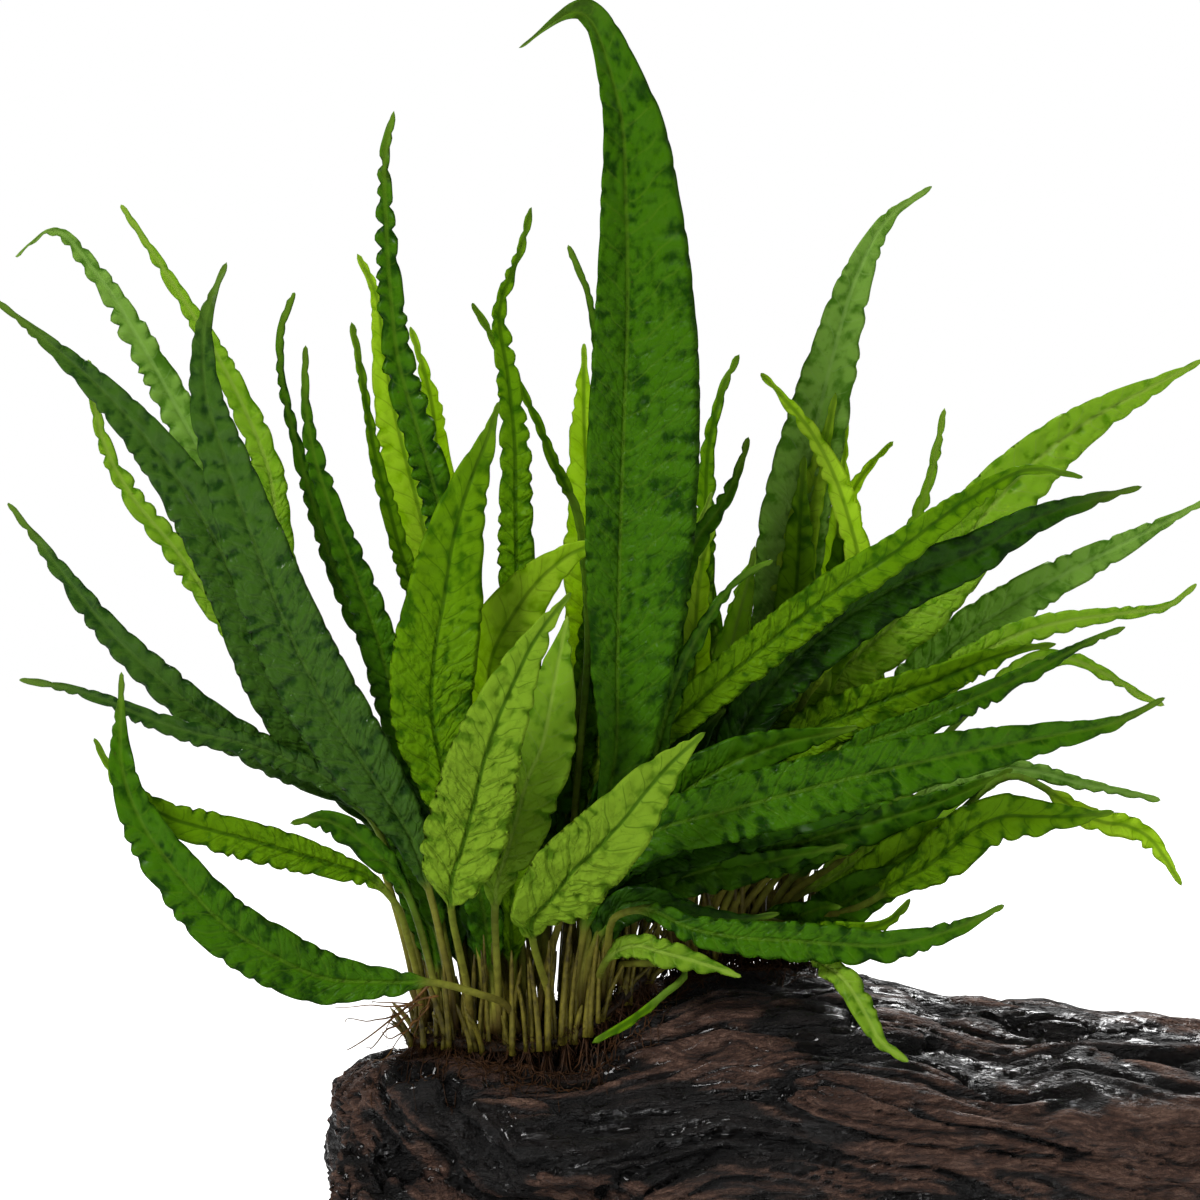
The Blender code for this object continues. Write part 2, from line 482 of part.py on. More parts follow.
def frond_sections(frond, base, wood_tree, push, extra):
    """The frond's four-cornered sections from root to tip, and its tip. push leans it back and extra thickens
    it all round."""
    stops = []
    for i, stop in enumerate(frond.stops):
        share = min(1.0, (i + 1) / (len(frond.stops) * 0.5))
        place = Vector(stop) * MM + LEAN_BACK * push * share
        ground = wood_top(wood_tree, place.x, place.y) + frond.width / 2
        place.z = max(place.z, ground + 0.001)
        stops.append(place)
    fine = smooth_path([base, base + Vector((0, 0, FOOT_RISE))] + stops, PATH_STEPS + 1)
    shares = [frond.blade * s for s in STALK_STATIONS]
    shares += [frond.blade + (1 - frond.blade) * s for s in BLADE_STATIONS]
    made = []
    for share in shares:
        i = round(share * PATH_STEPS)
        along = (fine[min(i + 2, PATH_STEPS)] - fine[max(i - 2, 0)]).normalized()
        u = max(0.0, (share - frond.blade) / (1 - frond.blade))
        side = Vector((0, 1, 0)).cross(along).normalized()
        turn = frond.turn[0] + (frond.turn[1] - frond.turn[0]) * u
        side = Matrix.Rotation(math.radians(turn), 3, along) @ side
        out = side.cross(along)
        reach = frond.width * blade_share(u, frond.widest)
        left = max(STALK_RADIUS, reach * frond.left) + extra
        right = max(STALK_RADIUS, reach * (1 - frond.left)) + extra
        thick = STALK_RADIUS * (1 - 0.5 * u) + extra
        dip = frond.fold * reach * 0.25
        centre = fine[i]
        made.append([centre - side * left + out * dip, centre - out * thick,
                     centre + side * right + out * dip, centre + out * thick])
    return made, fine[-1]


def frond_solid(frond, base, wood_tree, push, extra=0.0):
    """The loft through the sections, as vertices and faces."""
    sections, tip = frond_sections(frond, base, wood_tree, push, extra)
    verts = [corner for section in sections for corner in section] + [tip]
    faces = [(0, 1, 2), (0, 2, 3)]
    for ring in range(len(sections) - 1):
        for corner in range(4):
            a, b = ring * 4 + corner, ring * 4 + (corner + 1) % 4
            faces.append((a, a + 4, b + 4))
            faces.append((a, b + 4, b))
    last = (len(sections) - 1) * 4
    for corner in range(4):
        faces.append((last + corner, len(verts) - 1, last + (corner + 1) % 4))
    return verts, faces


def root_place(frond, passes):
    """Where the frond stands: on its rhizome's pass, at its own x."""
    line, aside = ROWS[frond.row]
    nearest, after = sorted(passes[line], key=lambda point: abs(point.x - frond.root * MM))[:2]
    span = after.x - nearest.x
    share = min(1.0, max(0.0, (frond.root * MM - nearest.x) / span)) if abs(span) > 1e-6 else 0.0
    centre = nearest.lerp(after, share)
    lift = RHIZOME_RADIUS * FOOT_LIFT + 2 * TOUCH_GAP
    return Vector((frond.root * MM, centre.y + aside * MM, centre.z + lift))


def build_fronds(passes, wood_tree, taken, collection, finish):
    """Each frond in turn, leaned back or forward by the least that clears those in place."""
    for frond in [BARE_STALK] + FRONDS:
        base = root_place(frond, passes)
        back = [PUSH_STEP * n for n in range(PUSHES_BACK)]
        forward = [-PUSH_STEP * n for n in range(1, PUSHES_FORWARD)]
        for push in back + forward:
            verts, faces = frond_solid(frond, base, wood_tree, push, FROND_CLEARANCE)
            tree = BVHTree.FromPolygons(verts, faces)
            if not any(tree.overlap(other) for other in taken):
                break
        else:
            raise RuntimeError("no room for " + frond.name)
        verts, faces = frond_solid(frond, base, wood_tree, push)
        taken.append(BVHTree.FromPolygons(verts, faces))
        mesh = bpy.data.meshes.new(frond.name)
        mesh.from_pydata(verts, [], faces)
        shape = bmesh.new()
        shape.from_mesh(mesh)
        bmesh.ops.recalc_face_normals(shape, faces=shape.faces)
        if shape.calc_volume(signed=True) < 0:
            bmesh.ops.reverse_faces(shape, faces=shape.faces)
        shape.to_mesh(mesh)
        shape.free()
        mesh.shade_smooth()
        new_object(frond.name, mesh, collection, finish)


def main():
    for obj in list(bpy.data.objects):
        bpy.data.objects.remove(obj)
    parts = bpy.data.collections.new("java_fern_on_driftwood")
    cutters = bpy.data.collections.new("cutters")
    for collection in (parts, cutters):
        bpy.context.scene.collection.children.link(collection)
    wood_finish = material("wood", 0.45)
    rhizome_finish = material("rhizome", 0.6)
    root_finish = material("root", 0.8)
    frond_finish = material("frond", 0.35)

    wood = build_driftwood(parts, cutters, wood_finish)
    wood_mesh = evaluated_copy(wood)
    wood_tree = tree_of(wood_mesh)
    routes = {name: rhizome_centres(wood_tree, route) for name, route in RHIZOMES.items()}
    marks = [point for centres in routes.values() for point in centres]
    mat = build_root_mat(wood_mesh, marks, parts, root_finish)
    bpy.context.view_layer.update()
    taken = [wood_tree, tree_of(evaluated_copy(mat))]
    for name, centres in routes.items():
        taken.append(tree_of(build_rod(name, centres, RHIZOME_RADIUS, 0.06, parts, rhizome_finish).data))
    root_path = smooth_path([Vector(stop) * MM for stop in AERIAL_ROOT], 10)
    hanging = build_rod("aerial_root", root_path, AERIAL_ROOT_RADIUS, 0.1, parts, root_finish)
    taken.append(tree_of(hanging.data))

    hairpin = routes["rhizome_left"]
    turn = max(range(len(hairpin)), key=lambda i: hairpin[i].x)
    passes = {"front": hairpin[:turn + 1], "rear": hairpin[turn:], "right": routes["rhizome_right"]}
    build_fronds(passes, wood_tree, taken, parts, frond_finish)


main()
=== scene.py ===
"""The looks of a java fern grown onto driftwood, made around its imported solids."""
import math
import random

import bmesh
import bpy
import numpy as np
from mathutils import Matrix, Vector, noise
from mathutils.bvhtree import BVHTree


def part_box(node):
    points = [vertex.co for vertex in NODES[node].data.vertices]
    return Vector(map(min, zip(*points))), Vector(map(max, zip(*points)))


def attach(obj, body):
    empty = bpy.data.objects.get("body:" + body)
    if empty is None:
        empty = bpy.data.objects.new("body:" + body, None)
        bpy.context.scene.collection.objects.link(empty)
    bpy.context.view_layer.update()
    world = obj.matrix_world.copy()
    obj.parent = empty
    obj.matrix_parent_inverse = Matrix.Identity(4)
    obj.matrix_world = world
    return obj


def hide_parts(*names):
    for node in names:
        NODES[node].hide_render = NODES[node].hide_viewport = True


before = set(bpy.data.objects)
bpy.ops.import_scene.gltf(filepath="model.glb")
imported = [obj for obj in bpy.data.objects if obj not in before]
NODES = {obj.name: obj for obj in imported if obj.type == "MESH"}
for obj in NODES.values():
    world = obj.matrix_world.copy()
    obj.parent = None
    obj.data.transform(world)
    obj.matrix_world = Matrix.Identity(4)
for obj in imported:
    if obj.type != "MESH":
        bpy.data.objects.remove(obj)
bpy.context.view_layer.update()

MM = 0.001
# Unseeded, noise_vector gives something else each time Blender starts.
noise.seed_set(5)

# ---------------------------------------------------------------- shader maths


class Value:
    """A socket whose maths reads as Python: each operator adds its Math node."""

    def __init__(self, finish, socket):
        self.finish, self.socket = finish, socket

    def maths(self, operation, *values):
        return Value(self.finish, self.finish.node("Math", {"operation": operation}, *values).outputs[0])

    def __add__(self, other):
        return self.maths("ADD", self, other)

    def __radd__(self, other):
        return self.maths("ADD", other, self)

    def __sub__(self, other):
        return self.maths("SUBTRACT", self, other)

    def __rsub__(self, other):
        return self.maths("SUBTRACT", other, self)

    def __mul__(self, other):
        return self.maths("MULTIPLY", self, other)

    def __rmul__(self, other):
        return self.maths("MULTIPLY", other, self)

    def __pow__(self, other):
        return self.maths("POWER", self, other)

    def __abs__(self):
        return self.maths("ABSOLUTE", self)

    def most(self, other):
        return self.maths("MAXIMUM", self, other)

    def part(self):
        """What is left above the whole number below."""
        return self.maths("FRACT", self)

    def rise(self, low, high):
        """0 up to low, 1 from high and a smooth climb between them."""
        made = self.finish.node("MapRange", {"interpolation_type": "SMOOTHSTEP"}, self, low, high, 0.0, 1.0)
        return Value(self.finish, made.outputs[0])


class Finish:
    """A material in the making: its nodes and its main shader, whose constant sockets are set by name."""

    def __init__(self, name, **constants):
        self.material = bpy.data.materials.new(name)
        self.material.use_nodes = True
        self.tree = self.material.node_tree
        self.shader = self.tree.nodes["Principled BSDF"]
        for socket, constant in constants.items():
            self.shader.inputs[socket.replace("_", " ")].default_value = constant

    def node(self, kind, settings=None, *values, **sockets):
        """A node of that kind. values fill its sockets in order, and sockets fill them by name."""
        made = self.tree.nodes.new("ShaderNode" + kind)
        for name, setting in (settings or {}).items():
            if name == "stops":
                ramp = made.color_ramp.elements
                while len(ramp) < len(setting):
                    ramp.new(0.5)
                for stop, (place, colour) in zip(ramp, setting):
                    stop.position, stop.color = place, (*colour, 1.0)
            else:
                setattr(made, name, setting)
        for place, value in list(enumerate(values)) + list(sockets.items()):
            self.feed(made.inputs[place.replace("_", " ") if isinstance(place, str) else place], value)
        return made

    def feed(self, socket, value):
        if isinstance(value, Value):
            self.tree.links.new(value.socket, socket)
        elif value is not None:
            socket.default_value = value

    def out(self, node, place=0):
        return Value(self, node.outputs[place])

    def attribute(self, name):
        """The three numbers kept at each point under that name."""
        kept = self.node("Attribute", {"attribute_name": name})
        split = self.node("SeparateXYZ", None, self.out(kept, 1))
        return [self.out(split, i) for i in range(3)]

    def point(self, x, y, z):
        return self.out(self.node("CombineXYZ", None, x, y, z))

    def noise(self, place, scale, detail=2.0, roughness=0.5):
        return self.out(self.node("TexNoise", None, Vector=place, Scale=scale, Detail=detail,
                                  Roughness=roughness))

    def ramp(self, value, *stops):
        return self.out(self.node("ValToRGB", {"stops": stops}, value))

    def mix(self, share, first, second, blend="MIX"):
        """Colour first turning into second as share goes from 0 to 1."""
        made = self.node("Mix", {"data_type": "RGBA", "blend_type": blend})
        for place, value in ((0, share), (6, first), (7, second)):
            self.feed(made.inputs[place], value if isinstance(value, (Value, float)) else (*value, 1.0))
        return self.out(made, 2)

    def bump(self, height, distance, strength=1.0):
        return self.out(self.node("Bump", None, Strength=strength, Distance=distance, Height=height))

    def surface(self, **sockets):
        for name, value in sockets.items():
            self.feed(self.shader.inputs[name.replace("_", " ")], value)

    def let_light_through(self, share, colour, normal):
        """Mixes in a Translucent shader, which shows the light that falls on the far side."""
        through = self.node("BsdfTranslucent", None, (*colour, 1.0))
        self.feed(through.inputs["Normal"], normal)
        mixed = self.node("MixShader", None, share)
        self.tree.links.new(self.shader.outputs[0], mixed.inputs[1])
        self.tree.links.new(through.outputs[0], mixed.inputs[2])
        self.tree.links.new(mixed.outputs[0], self.tree.nodes["Material Output"].inputs["Surface"])


# ---------------------------------------------------------------- finishes

def leaf_finish(name, dark, light, vein, through, share, roughness, wet=0.0, embossed=0.5):
    """A fern blade: dark and light are its greens, vein the colour of its veins, and share of the light
    that falls on it shines through in the colour through. wet is how much of it glistens, and embossed how
    much its veins and quilting show, in relief and in the painted shade of the quilting."""
    made = Finish(name, IOR=1.4, Specular_IOR_Level=0.03 + 0.14 * wet)
    x, y, seed = made.attribute("blade_place")
    aside, grown, rib = made.attribute("blade_growth")
    stalk, lift = made.attribute("blade_form")[:2]
    patch = made.noise(made.point(x * 0.5, y * 0.3, seed), 0.30, 3.0)
    mottle = made.noise(made.point(x, y * 0.8, seed), 0.55, 4.0, 0.6)
    net_place = made.point(x * 0.8 + mottle * 3.4, (y - abs(x) * 0.9) * 1.0 + patch * 3.0, seed)
    net = made.node("TexVoronoi", {"feature": "DISTANCE_TO_EDGE"}, Vector=net_place, Scale=0.30)
    between = made.out(net)
    net_line = 1 - between.rise(0.008, 0.060)
    off_vein = abs(rib.part() - 0.5) * 2.0
    side_vein = (1 - off_vein.rise(0.0, 0.11)) * (1 - abs(aside).rise(0.70, 0.95))
    midrib = 1 - abs(x).rise(0.22, 0.75)
    veins = (net_line * 0.38 * mottle.rise(0.35, 0.6)).most(side_vein * 0.8).most(midrib)

    # quilt is painted shade: lighter on the swellings between the veins, darker along them.
    quilt = between.rise(0.0, 0.30) * 0.12 + off_vein.rise(0.0, 0.8) * 0.30
    # The leaf's own uneven tone from patch and mottle, plus painted light and shade from lift: lighter
    # where the ruffles and quilting rise, darker where they dip.
    tone_and_painted_shade = (patch * 1.0 + mottle * 0.9 + (lift - 0.5) * 0.8 + quilt * embossed - 0.58).rise(0.20, 0.72)
    green = made.mix(tone_and_painted_shade, dark, light)
    green = made.mix(veins * embossed, green, vein)
    green = made.mix(abs(aside).rise(0.90, 1.0) * 0.30, green, light)
    green = made.mix(grown.rise(0.88, 1.0) * 0.25, green, (0.22, 0.36, 0.03))
    speck = made.noise(made.point(x, y, seed + 4.0), 0.9, 1.0).rise(0.75, 0.80)
    green = made.mix(speck * 0.45, green, (0.06, 0.05, 0.012))
    stem = made.ramp(grown, (0.0, (0.030, 0.015, 0.005)), (0.04, (0.090, 0.066, 0.013)),
                     (0.12, (0.170, 0.165, 0.022)), (0.45, (0.075, 0.150, 0.010)))
    stem = made.mix(mottle.rise(0.35, 0.75) * 0.5, stem, (0.050, 0.046, 0.008))
    colour = made.mix(stalk, green, stem)

    swelling = made.noise(made.point(x, y * 0.8, seed), 0.50, 1.0)
    height = between.rise(0.0, 0.16) * 0.4 + off_vein.rise(0.0, 0.35) * 0.6 - midrib * 0.6 + swelling * 1.6
    relief = made.bump(height * (1 - stalk * 0.8) * (1 - grown.rise(0.55, 0.75)), 0.0009, embossed)
    damp = made.noise(made.point(x, y * 0.6, seed + 8.0), 0.45, 3.0)
    dry = (mottle * 0.22 + (roughness - 0.06)) + stalk * 0.1
    dull = (dry - damp.rise(0.48, 0.62) * wet * 0.45).most(0.13)
    made.surface(Base_Color=colour, Roughness=dull, Normal=relief)
    made.let_light_through((1 - stalk) * (1 - veins * 0.5) * share, through, relief)
    return made.material


def wood_finish():
    """Waterlogged driftwood: near black, red-brown where it is worn, with painted shade in its clefts and
    furrows, glistening in the wet.
    """
    made = Finish("wet_driftwood", Specular_IOR_Level=0.30, Coat_Roughness=0.07)
    place = made.out(made.node("TexCoord"), 3)
    split = made.node("SeparateXYZ", None, place)
    x, y, z = (made.out(split, i) for i in range(3))
    groove, worn = made.attribute("wood_form")[:2]
    bend = made.noise(made.point(x, y, z), 28.0, 3.0) * 0.016
    along = made.point(x * 0.09, y + bend, z + bend)
    fibre = made.noise(along, 900.0, 5.0, 0.65)
    strand = made.noise(along, 260.0, 4.0, 0.6)
    blotch = made.noise(made.point(x * 0.6, y, z), 45.0, 4.0, 0.6)
    pit = made.noise(made.point(x * 0.35, y, z), 420.0, 3.0, 0.6)
    grit = made.noise(made.point(x * 0.45, y, z), 1100.0, 3.0, 0.6)
    # Painted shade: less red-brown in the clefts and furrows that groove marks.
    red = (worn * 0.9 + blotch * 0.5 + strand * 0.55 + fibre * 0.3 - groove * 0.8).rise(0.90, 1.30)
    dark = made.mix(strand.rise(0.35, 0.7), (0.0018, 0.0014, 0.0013), (0.0095, 0.0065, 0.0055))
    brown = made.ramp(fibre * 0.5 + strand * 0.35 + grit * 0.15, (0.38, (0.010, 0.0045, 0.0030)),
                      (0.5, (0.070, 0.032, 0.020)), (0.62, (0.185, 0.104, 0.072)))
    colour = made.mix(red, dark, brown)
    # Painted shade: near black deep in the clefts and furrows.
    colour = made.mix(groove.rise(0.35, 0.95), colour, (0.0014, 0.0010, 0.0009))
    height = fibre * 0.55 + strand * 0.6 + pit.rise(0.3, 0.6) * 0.4 + grit.rise(0.30, 0.70) * 0.45
    relief = made.bump(height, 0.0034, 1.0)
    wet = made.noise(made.point(x * 0.5, y, z), 200.0, 3.0).rise(0.44, 0.58)
    made.surface(Base_Color=colour, Normal=relief,
                 Roughness=((0.52 + red * 0.22 + fibre * 0.16) - wet * (1 - red * 0.6) * 0.50).most(0.10),
                 Coat_Weight=wet * (1 - red * 0.8) * 0.18)
    return made.material


def root_finish(name, dark, light, roughness):
    made = Finish(name, Specular_IOR_Level=0.15)
    place = made.out(made.node("TexCoord"), 3)
    mottle = made.noise(place, 600.0, 4.0, 0.6)
    patch = made.noise(place, 70.0, 2.0)
    colour = made.mix((mottle * 0.5 + patch * 0.5).rise(0.3, 0.7), dark, light)
    made.surface(Base_Color=colour, Roughness=mottle * 0.3 + (roughness - 0.15),
                 Normal=made.bump(mottle, 0.0004, 0.6))
    return made.material


LEAF_FINISHES = {
    "deep": leaf_finish("frond_deep_green", (0.008, 0.040, 0.0008), (0.042, 0.135, 0.002),
                        (0.070, 0.150, 0.006), (0.13, 0.30, 0.004), 0.20, 0.36, 0.35, 0.55),
    # A darker copy of the deep green: painted shade for fronds that stand in shade, mostly young ones deep
    # in the plant.
    "painted_shade_dark": leaf_finish("frond_shaded_green", (0.004, 0.020, 0.0006), (0.018, 0.066, 0.0015),
                         (0.030, 0.075, 0.004), (0.06, 0.15, 0.003), 0.10, 0.34, 0.45, 0.5),
    "glossy": leaf_finish("frond_glossy_dark", (0.010, 0.040, 0.004), (0.040, 0.105, 0.010),
                          (0.060, 0.130, 0.014), (0.10, 0.24, 0.006), 0.16, 0.30, 0.7, 0.5),
    # Greens greyed and lightened by a painted sheen.
    "grey_painted_sheen": leaf_finish("frond_grey_green", (0.050, 0.135, 0.010), (0.180, 0.330, 0.050),
                        (0.20, 0.35, 0.07), (0.26, 0.48, 0.02), 0.30, 0.40, 0.2, 0.6),
    "mid": leaf_finish("frond_mid_green", (0.030, 0.100, 0.0008), (0.125, 0.265, 0.003),
                       (0.022, 0.068, 0.001), (0.24, 0.46, 0.004), 0.32, 0.40, 0.15, 0.75),
    "fresh": leaf_finish("frond_fresh_green", (0.060, 0.165, 0.004), (0.21, 0.37, 0.022),
                         (0.22, 0.34, 0.04), (0.38, 0.60, 0.01), 0.40, 0.38, 0.3, 0.8),
    # A lit copy of the greens: brighter yellow greens painted in for fronds lit from behind, on top of the
    # light that really shines through them.
    "backlit_painted_light": leaf_finish("frond_backlit_yellow", (0.120, 0.250, 0.004), (0.34, 0.50, 0.030),
                          (0.060, 0.150, 0.004), (0.55, 0.76, 0.02), 0.52, 0.42, 0.0, 0.7),
    "pale": leaf_finish("frond_pale_underside", (0.085, 0.185, 0.008), (0.215, 0.360, 0.022),
                        (0.050, 0.120, 0.005), (0.34, 0.54, 0.01), 0.34, 0.48, 0.0, 1.0),
}
WOOD = wood_finish()
ROOT = root_finish("brown_root_fibre", (0.006, 0.0024, 0.0010), (0.075, 0.031, 0.010), 0.55)
STRAND = root_finish("hanging_root", (0.030, 0.012, 0.003), (0.200, 0.095, 0.022), 0.45)
OLD_STALK = root_finish("old_stalk", (0.020, 0.014, 0.002), (0.175, 0.150, 0.018), 0.4)
RHIZOME = root_finish("scaly_rhizome", (0.005, 0.003, 0.0015), (0.030, 0.016, 0.006), 0.5)

# ---------------------------------------------------------------- fronds

FROND_LOOKS = {
    "deep": "left_1 left_3 left_7 left_9 middle_5 middle_6 middle_10 right_1 right_4 right_5 right_7 "
            "right_10 right_13 right_18",
    "painted_shade_dark": "right_14",
    "glossy": "left_4 left_8 left_5 left_6",
    "grey_painted_sheen": "right_12 right_23 right_21 left_13",
    "mid": "left_2 left_10 middle_4 middle_8 middle_9 right_6 right_8 right_11 right_20 right_15 "
           "right_24",
    "fresh": "left_11 left_12 middle_3 right_2 right_3 right_16 right_19 right_26 right_22 right_27 "
             "right_28",
    "backlit_painted_light": "middle_7 middle_11 middle_12 middle_13 right_9 right_17 right_25",
    "pale": "middle_1 middle_2",
}
# How strongly a blade's edges wave and its face is quilted, where that isn't as usual.
RUFFLES = {"middle_5": 0.30, "middle_4": 0.55, "middle_1": 0.8, "middle_2": 0.8, "left_4": 0.55,
           "left_8": 0.6, "right_5": 0.55, "right_11": 0.55, "right_14": 0.5, "right_21": 0.6,
           "right_7": 0.5, "left_1": 0.7, "middle_7": 0.6, "right_19": 0.6, "middle_6": 1.7,
           "middle_8": 1.3, "left_13": 1.2, "left_11": 1.2}
QUILTING = {"right_19": 2.2, "middle_1": 1.7, "middle_2": 1.7, "left_8": 1.4, "left_4": 1.4,
            "right_20": 1.6, "right_27": 1.6, "middle_5": 0.9}
USUAL_RUFFLE, USUAL_QUILTING = 0.9, 1.0


class Young:
    """A small frond past the solids' count, which grows between two that have solids and is joined to the
    first. share is how near it stands to the second, reach how much of their length it has, and behind how
    far it stands back of them."""

    def __init__(self, look, host, other, share, reach, width, behind=0.0, turn=0.0):
        self.look, self.host, self.other, self.share, self.reach = look, host, other, share, reach
        self.width, self.behind, self.turn = width * MM, behind * MM, turn


def grow_young():
    """The small fronds that fill the plant between the large ones."""
    rng = random.Random(23)
    made = []
    for looks, fan, each, low, high, behind in YOUNG_FANS:
        names = fan.split()
        for host, other in zip(names, names[1:]):
            for k in range(each):
                share = (k + rng.uniform(0.25, 0.75)) / each
                look = looks[rng.randrange(len(looks))]
                made.append(Young(look, host, other, share, rng.uniform(low, high), rng.uniform(8, 13),
                                  behind + rng.uniform(-2, 4), rng.uniform(-25, 25)))
    return made


# Looks, the large fronds that the small ones grow between, how many between each two, their least and most
# reach, and how far they stand back.
YOUNG_FANS = [
    (("painted_shade_dark", "deep"), "left_3 left_6 left_4 left_7 middle_6 middle_4 middle_3 middle_8",
     2, 0.30, 0.50, 3),
    (("painted_shade_dark", "deep"), "left_10 left_9 left_7 middle_11 middle_13 middle_9", 2, 0.26, 0.46, 2),
    (("painted_shade_dark", "deep", "mid"), "middle_3 middle_10 right_10", 4, 0.36, 0.60, 5),
    (("mid", "fresh", "backlit_painted_light"), "middle_12 middle_10 right_24 right_18 right_20", 3, 0.50, 0.85, 2),
    (("mid", "fresh", "backlit_painted_light"), "right_24 right_27 right_18 right_28 right_21 right_25 right_17",
     3, 0.60, 0.92, 1),
    (("painted_shade_dark", "deep"), "right_10 right_11 right_14", 3, 0.34, 0.56, 5),
    (("mid", "deep", "fresh"), "right_10 right_19 right_15 right_13 right_16 right_23", 2, 0.35, 0.62, 2),
    (("painted_shade_dark", "deep", "deep"), "right_7 right_5 right_4 right_1", 3, 0.42, 0.75, 3),
    (("deep", "mid", "fresh"), "right_12 right_8 right_6", 2, 0.45, 0.75, 1),
]
YOUNG_FRONDS = grow_young()
YOUNG_STALK = 0.2
ROW_LENGTH = 1.15 * MM
YOUNG_ROW_LENGTH = 1.7 * MM
# An edge's waves: their length on a narrow blade, how much it grows with the blade's width, in mm; how far
# they rise, and how much that grows with the width.
WAVE_LENGTH, WAVE_GROWTH = 4.6, 0.18
WAVE_RISE, RISE_GROWTH = 0.42, 0.095
# The gap between side veins in mm, and how much it grows with the width.
VEIN_GAP, GAP_GROWTH = 4.6, 0.22
# Half a blade's thickness at its edge, what it gains inwards, and its midrib's ridge behind and groove in
# front, all in mm.
BLADE_HALF_THICKNESS = 0.13
INNER_THICKENING = 0.05
MIDRIB_RIDGE = 0.42
MIDRIB_GROOVE = 0.10
# How far an edge's lobes stand out.
LOBE_DEPTH = 1.2 * MM
# A frond's tip is rounded, not a point.
TIP_HALF_WIDTH = 0.8 * MM
TIP_LENGTH = 3.0 * MM
STALK_ROW_LENGTH = 3.0 * MM
STALK_RADIUS = 0.92 * MM


def smooth(value, low, high):
    t = np.clip((value - low) / (high - low), 0.0, 1.0)
    return t * t * (3 - 2 * t)


def curve_through(places, values, at):
    """values read at the distances at, from a smooth curve through them at their own places."""
    slopes = np.zeros_like(values)
    step = np.diff(places)[:, None]
    rate = np.diff(values, axis=0) / step
    slopes[1:-1] = (rate[:-1] * step[1:] + rate[1:] * step[:-1]) / (step[:-1] + step[1:])
    slopes[0], slopes[-1] = rate[0], rate[-1]
    piece = np.clip(np.searchsorted(places, at, side="right") - 1, 0, len(places) - 2)
    width = step[piece]
    t = ((at - places[piece]) / width[:, 0])[:, None]
    return ((2 * t ** 3 - 3 * t ** 2 + 1) * values[piece]
            + (t ** 3 - 2 * t ** 2 + t) * width * slopes[piece]
            + (3 * t ** 2 - 2 * t ** 3) * values[piece + 1]
            + (t ** 3 - t ** 2) * width * slopes[piece + 1])


def solid_rings(node):
    """The four-cornered sections of a frond's solid from its foot to its tip, and the tip."""
    shape = bmesh.new()
    shape.from_mesh(NODES[node].data)
    bmesh.ops.remove_doubles(shape, verts=shape.verts, dist=2e-6)
    for tip in shape.verts:
        seen, rings = {tip}, []
        edge = [tip]
        while edge:
            edge = [e.other_vert(v) for v in edge for e in v.link_edges]
            edge = list(dict.fromkeys(other for other in edge if other not in seen))
            seen.update(edge)
            if len(edge) != 4:
                break
            rings.append(edge)
        if len(rings) * 4 + 1 == len(shape.verts):
            break
    made = []
    for ring in reversed(rings):
        first = ring[0]
        near = [e.other_vert(first) for e in first.link_edges if e.other_vert(first) in ring]
        across = [v for v in ring if v != first and v not in near] or near
        opposite = max(across, key=lambda v: (v.co - first.co).length)
        beside = [v for v in ring if v not in (first, opposite)]
        made.append([np.array(v.co) for v in (first, beside[0], opposite, beside[1])])
    point = np.array(tip.co)
    shape.free()
    return made, point


def frond_lines(node):
    """A frond's centre line, read back from its solid, the vectors from it to the blade's left and right
    edges, and their distances from its foot."""
    rings, tip = solid_rings(node)
    spans = [max(np.linalg.norm(r[0] - r[2]), np.linalg.norm(r[1] - r[3])) for r in rings]
    widest = int(np.argmax(spans))

    def turned(ring, towards):
        """The ring's corners starting from the one that lies most in that direction."""
        middle = sum(ring) / 4
        start = max(range(4), key=lambda i: np.dot(ring[i] - middle, towards))
        return ring[start:] + ring[:start]

    ring = rings[widest]
    if np.linalg.norm(ring[0] - ring[2]) < np.linalg.norm(ring[1] - ring[3]):
        ring = ring[1:] + ring[:1]
    out = (ring[0] + ring[2]) / 2 - (ring[1] + ring[3]) / 2
    along = sum(rings[widest]) - sum(rings[widest - 1])
    if np.dot(np.cross(ring[2] - ring[0], along), out) < 0:
        ring = ring[2:] + ring[:2]
    ordered = {widest: ring}
    for i in range(widest + 1, len(rings)):
        ordered[i] = turned(rings[i], ordered[i - 1][0] - sum(ordered[i - 1]) / 4)
    for i in range(widest - 1, -1, -1):
        ordered[i] = turned(rings[i], ordered[i + 1][0] - sum(ordered[i + 1]) / 4)
    centres = [(ordered[i][1] + ordered[i][3]) / 2 for i in range(len(rings))] + [tip]
    left = [ordered[i][0] - centres[i] for i in range(len(rings))] + [np.zeros(3)]
    right = [ordered[i][2] - centres[i] for i in range(len(rings))] + [np.zeros(3)]
    steps = np.linalg.norm(np.diff(np.array(centres), axis=0), axis=1)
    return np.concatenate([[0.0], np.cumsum(steps)]), np.array(centres), np.array(left), np.array(right)


def unit(vectors):
    return vectors / np.maximum(np.linalg.norm(vectors, axis=-1, keepdims=True), 1e-12)


def noise_at(points, scale, shift=0.0):
    return np.array([noise.noise(Vector(p) * scale + Vector((shift, shift * 0.7, -shift))) for p in points])


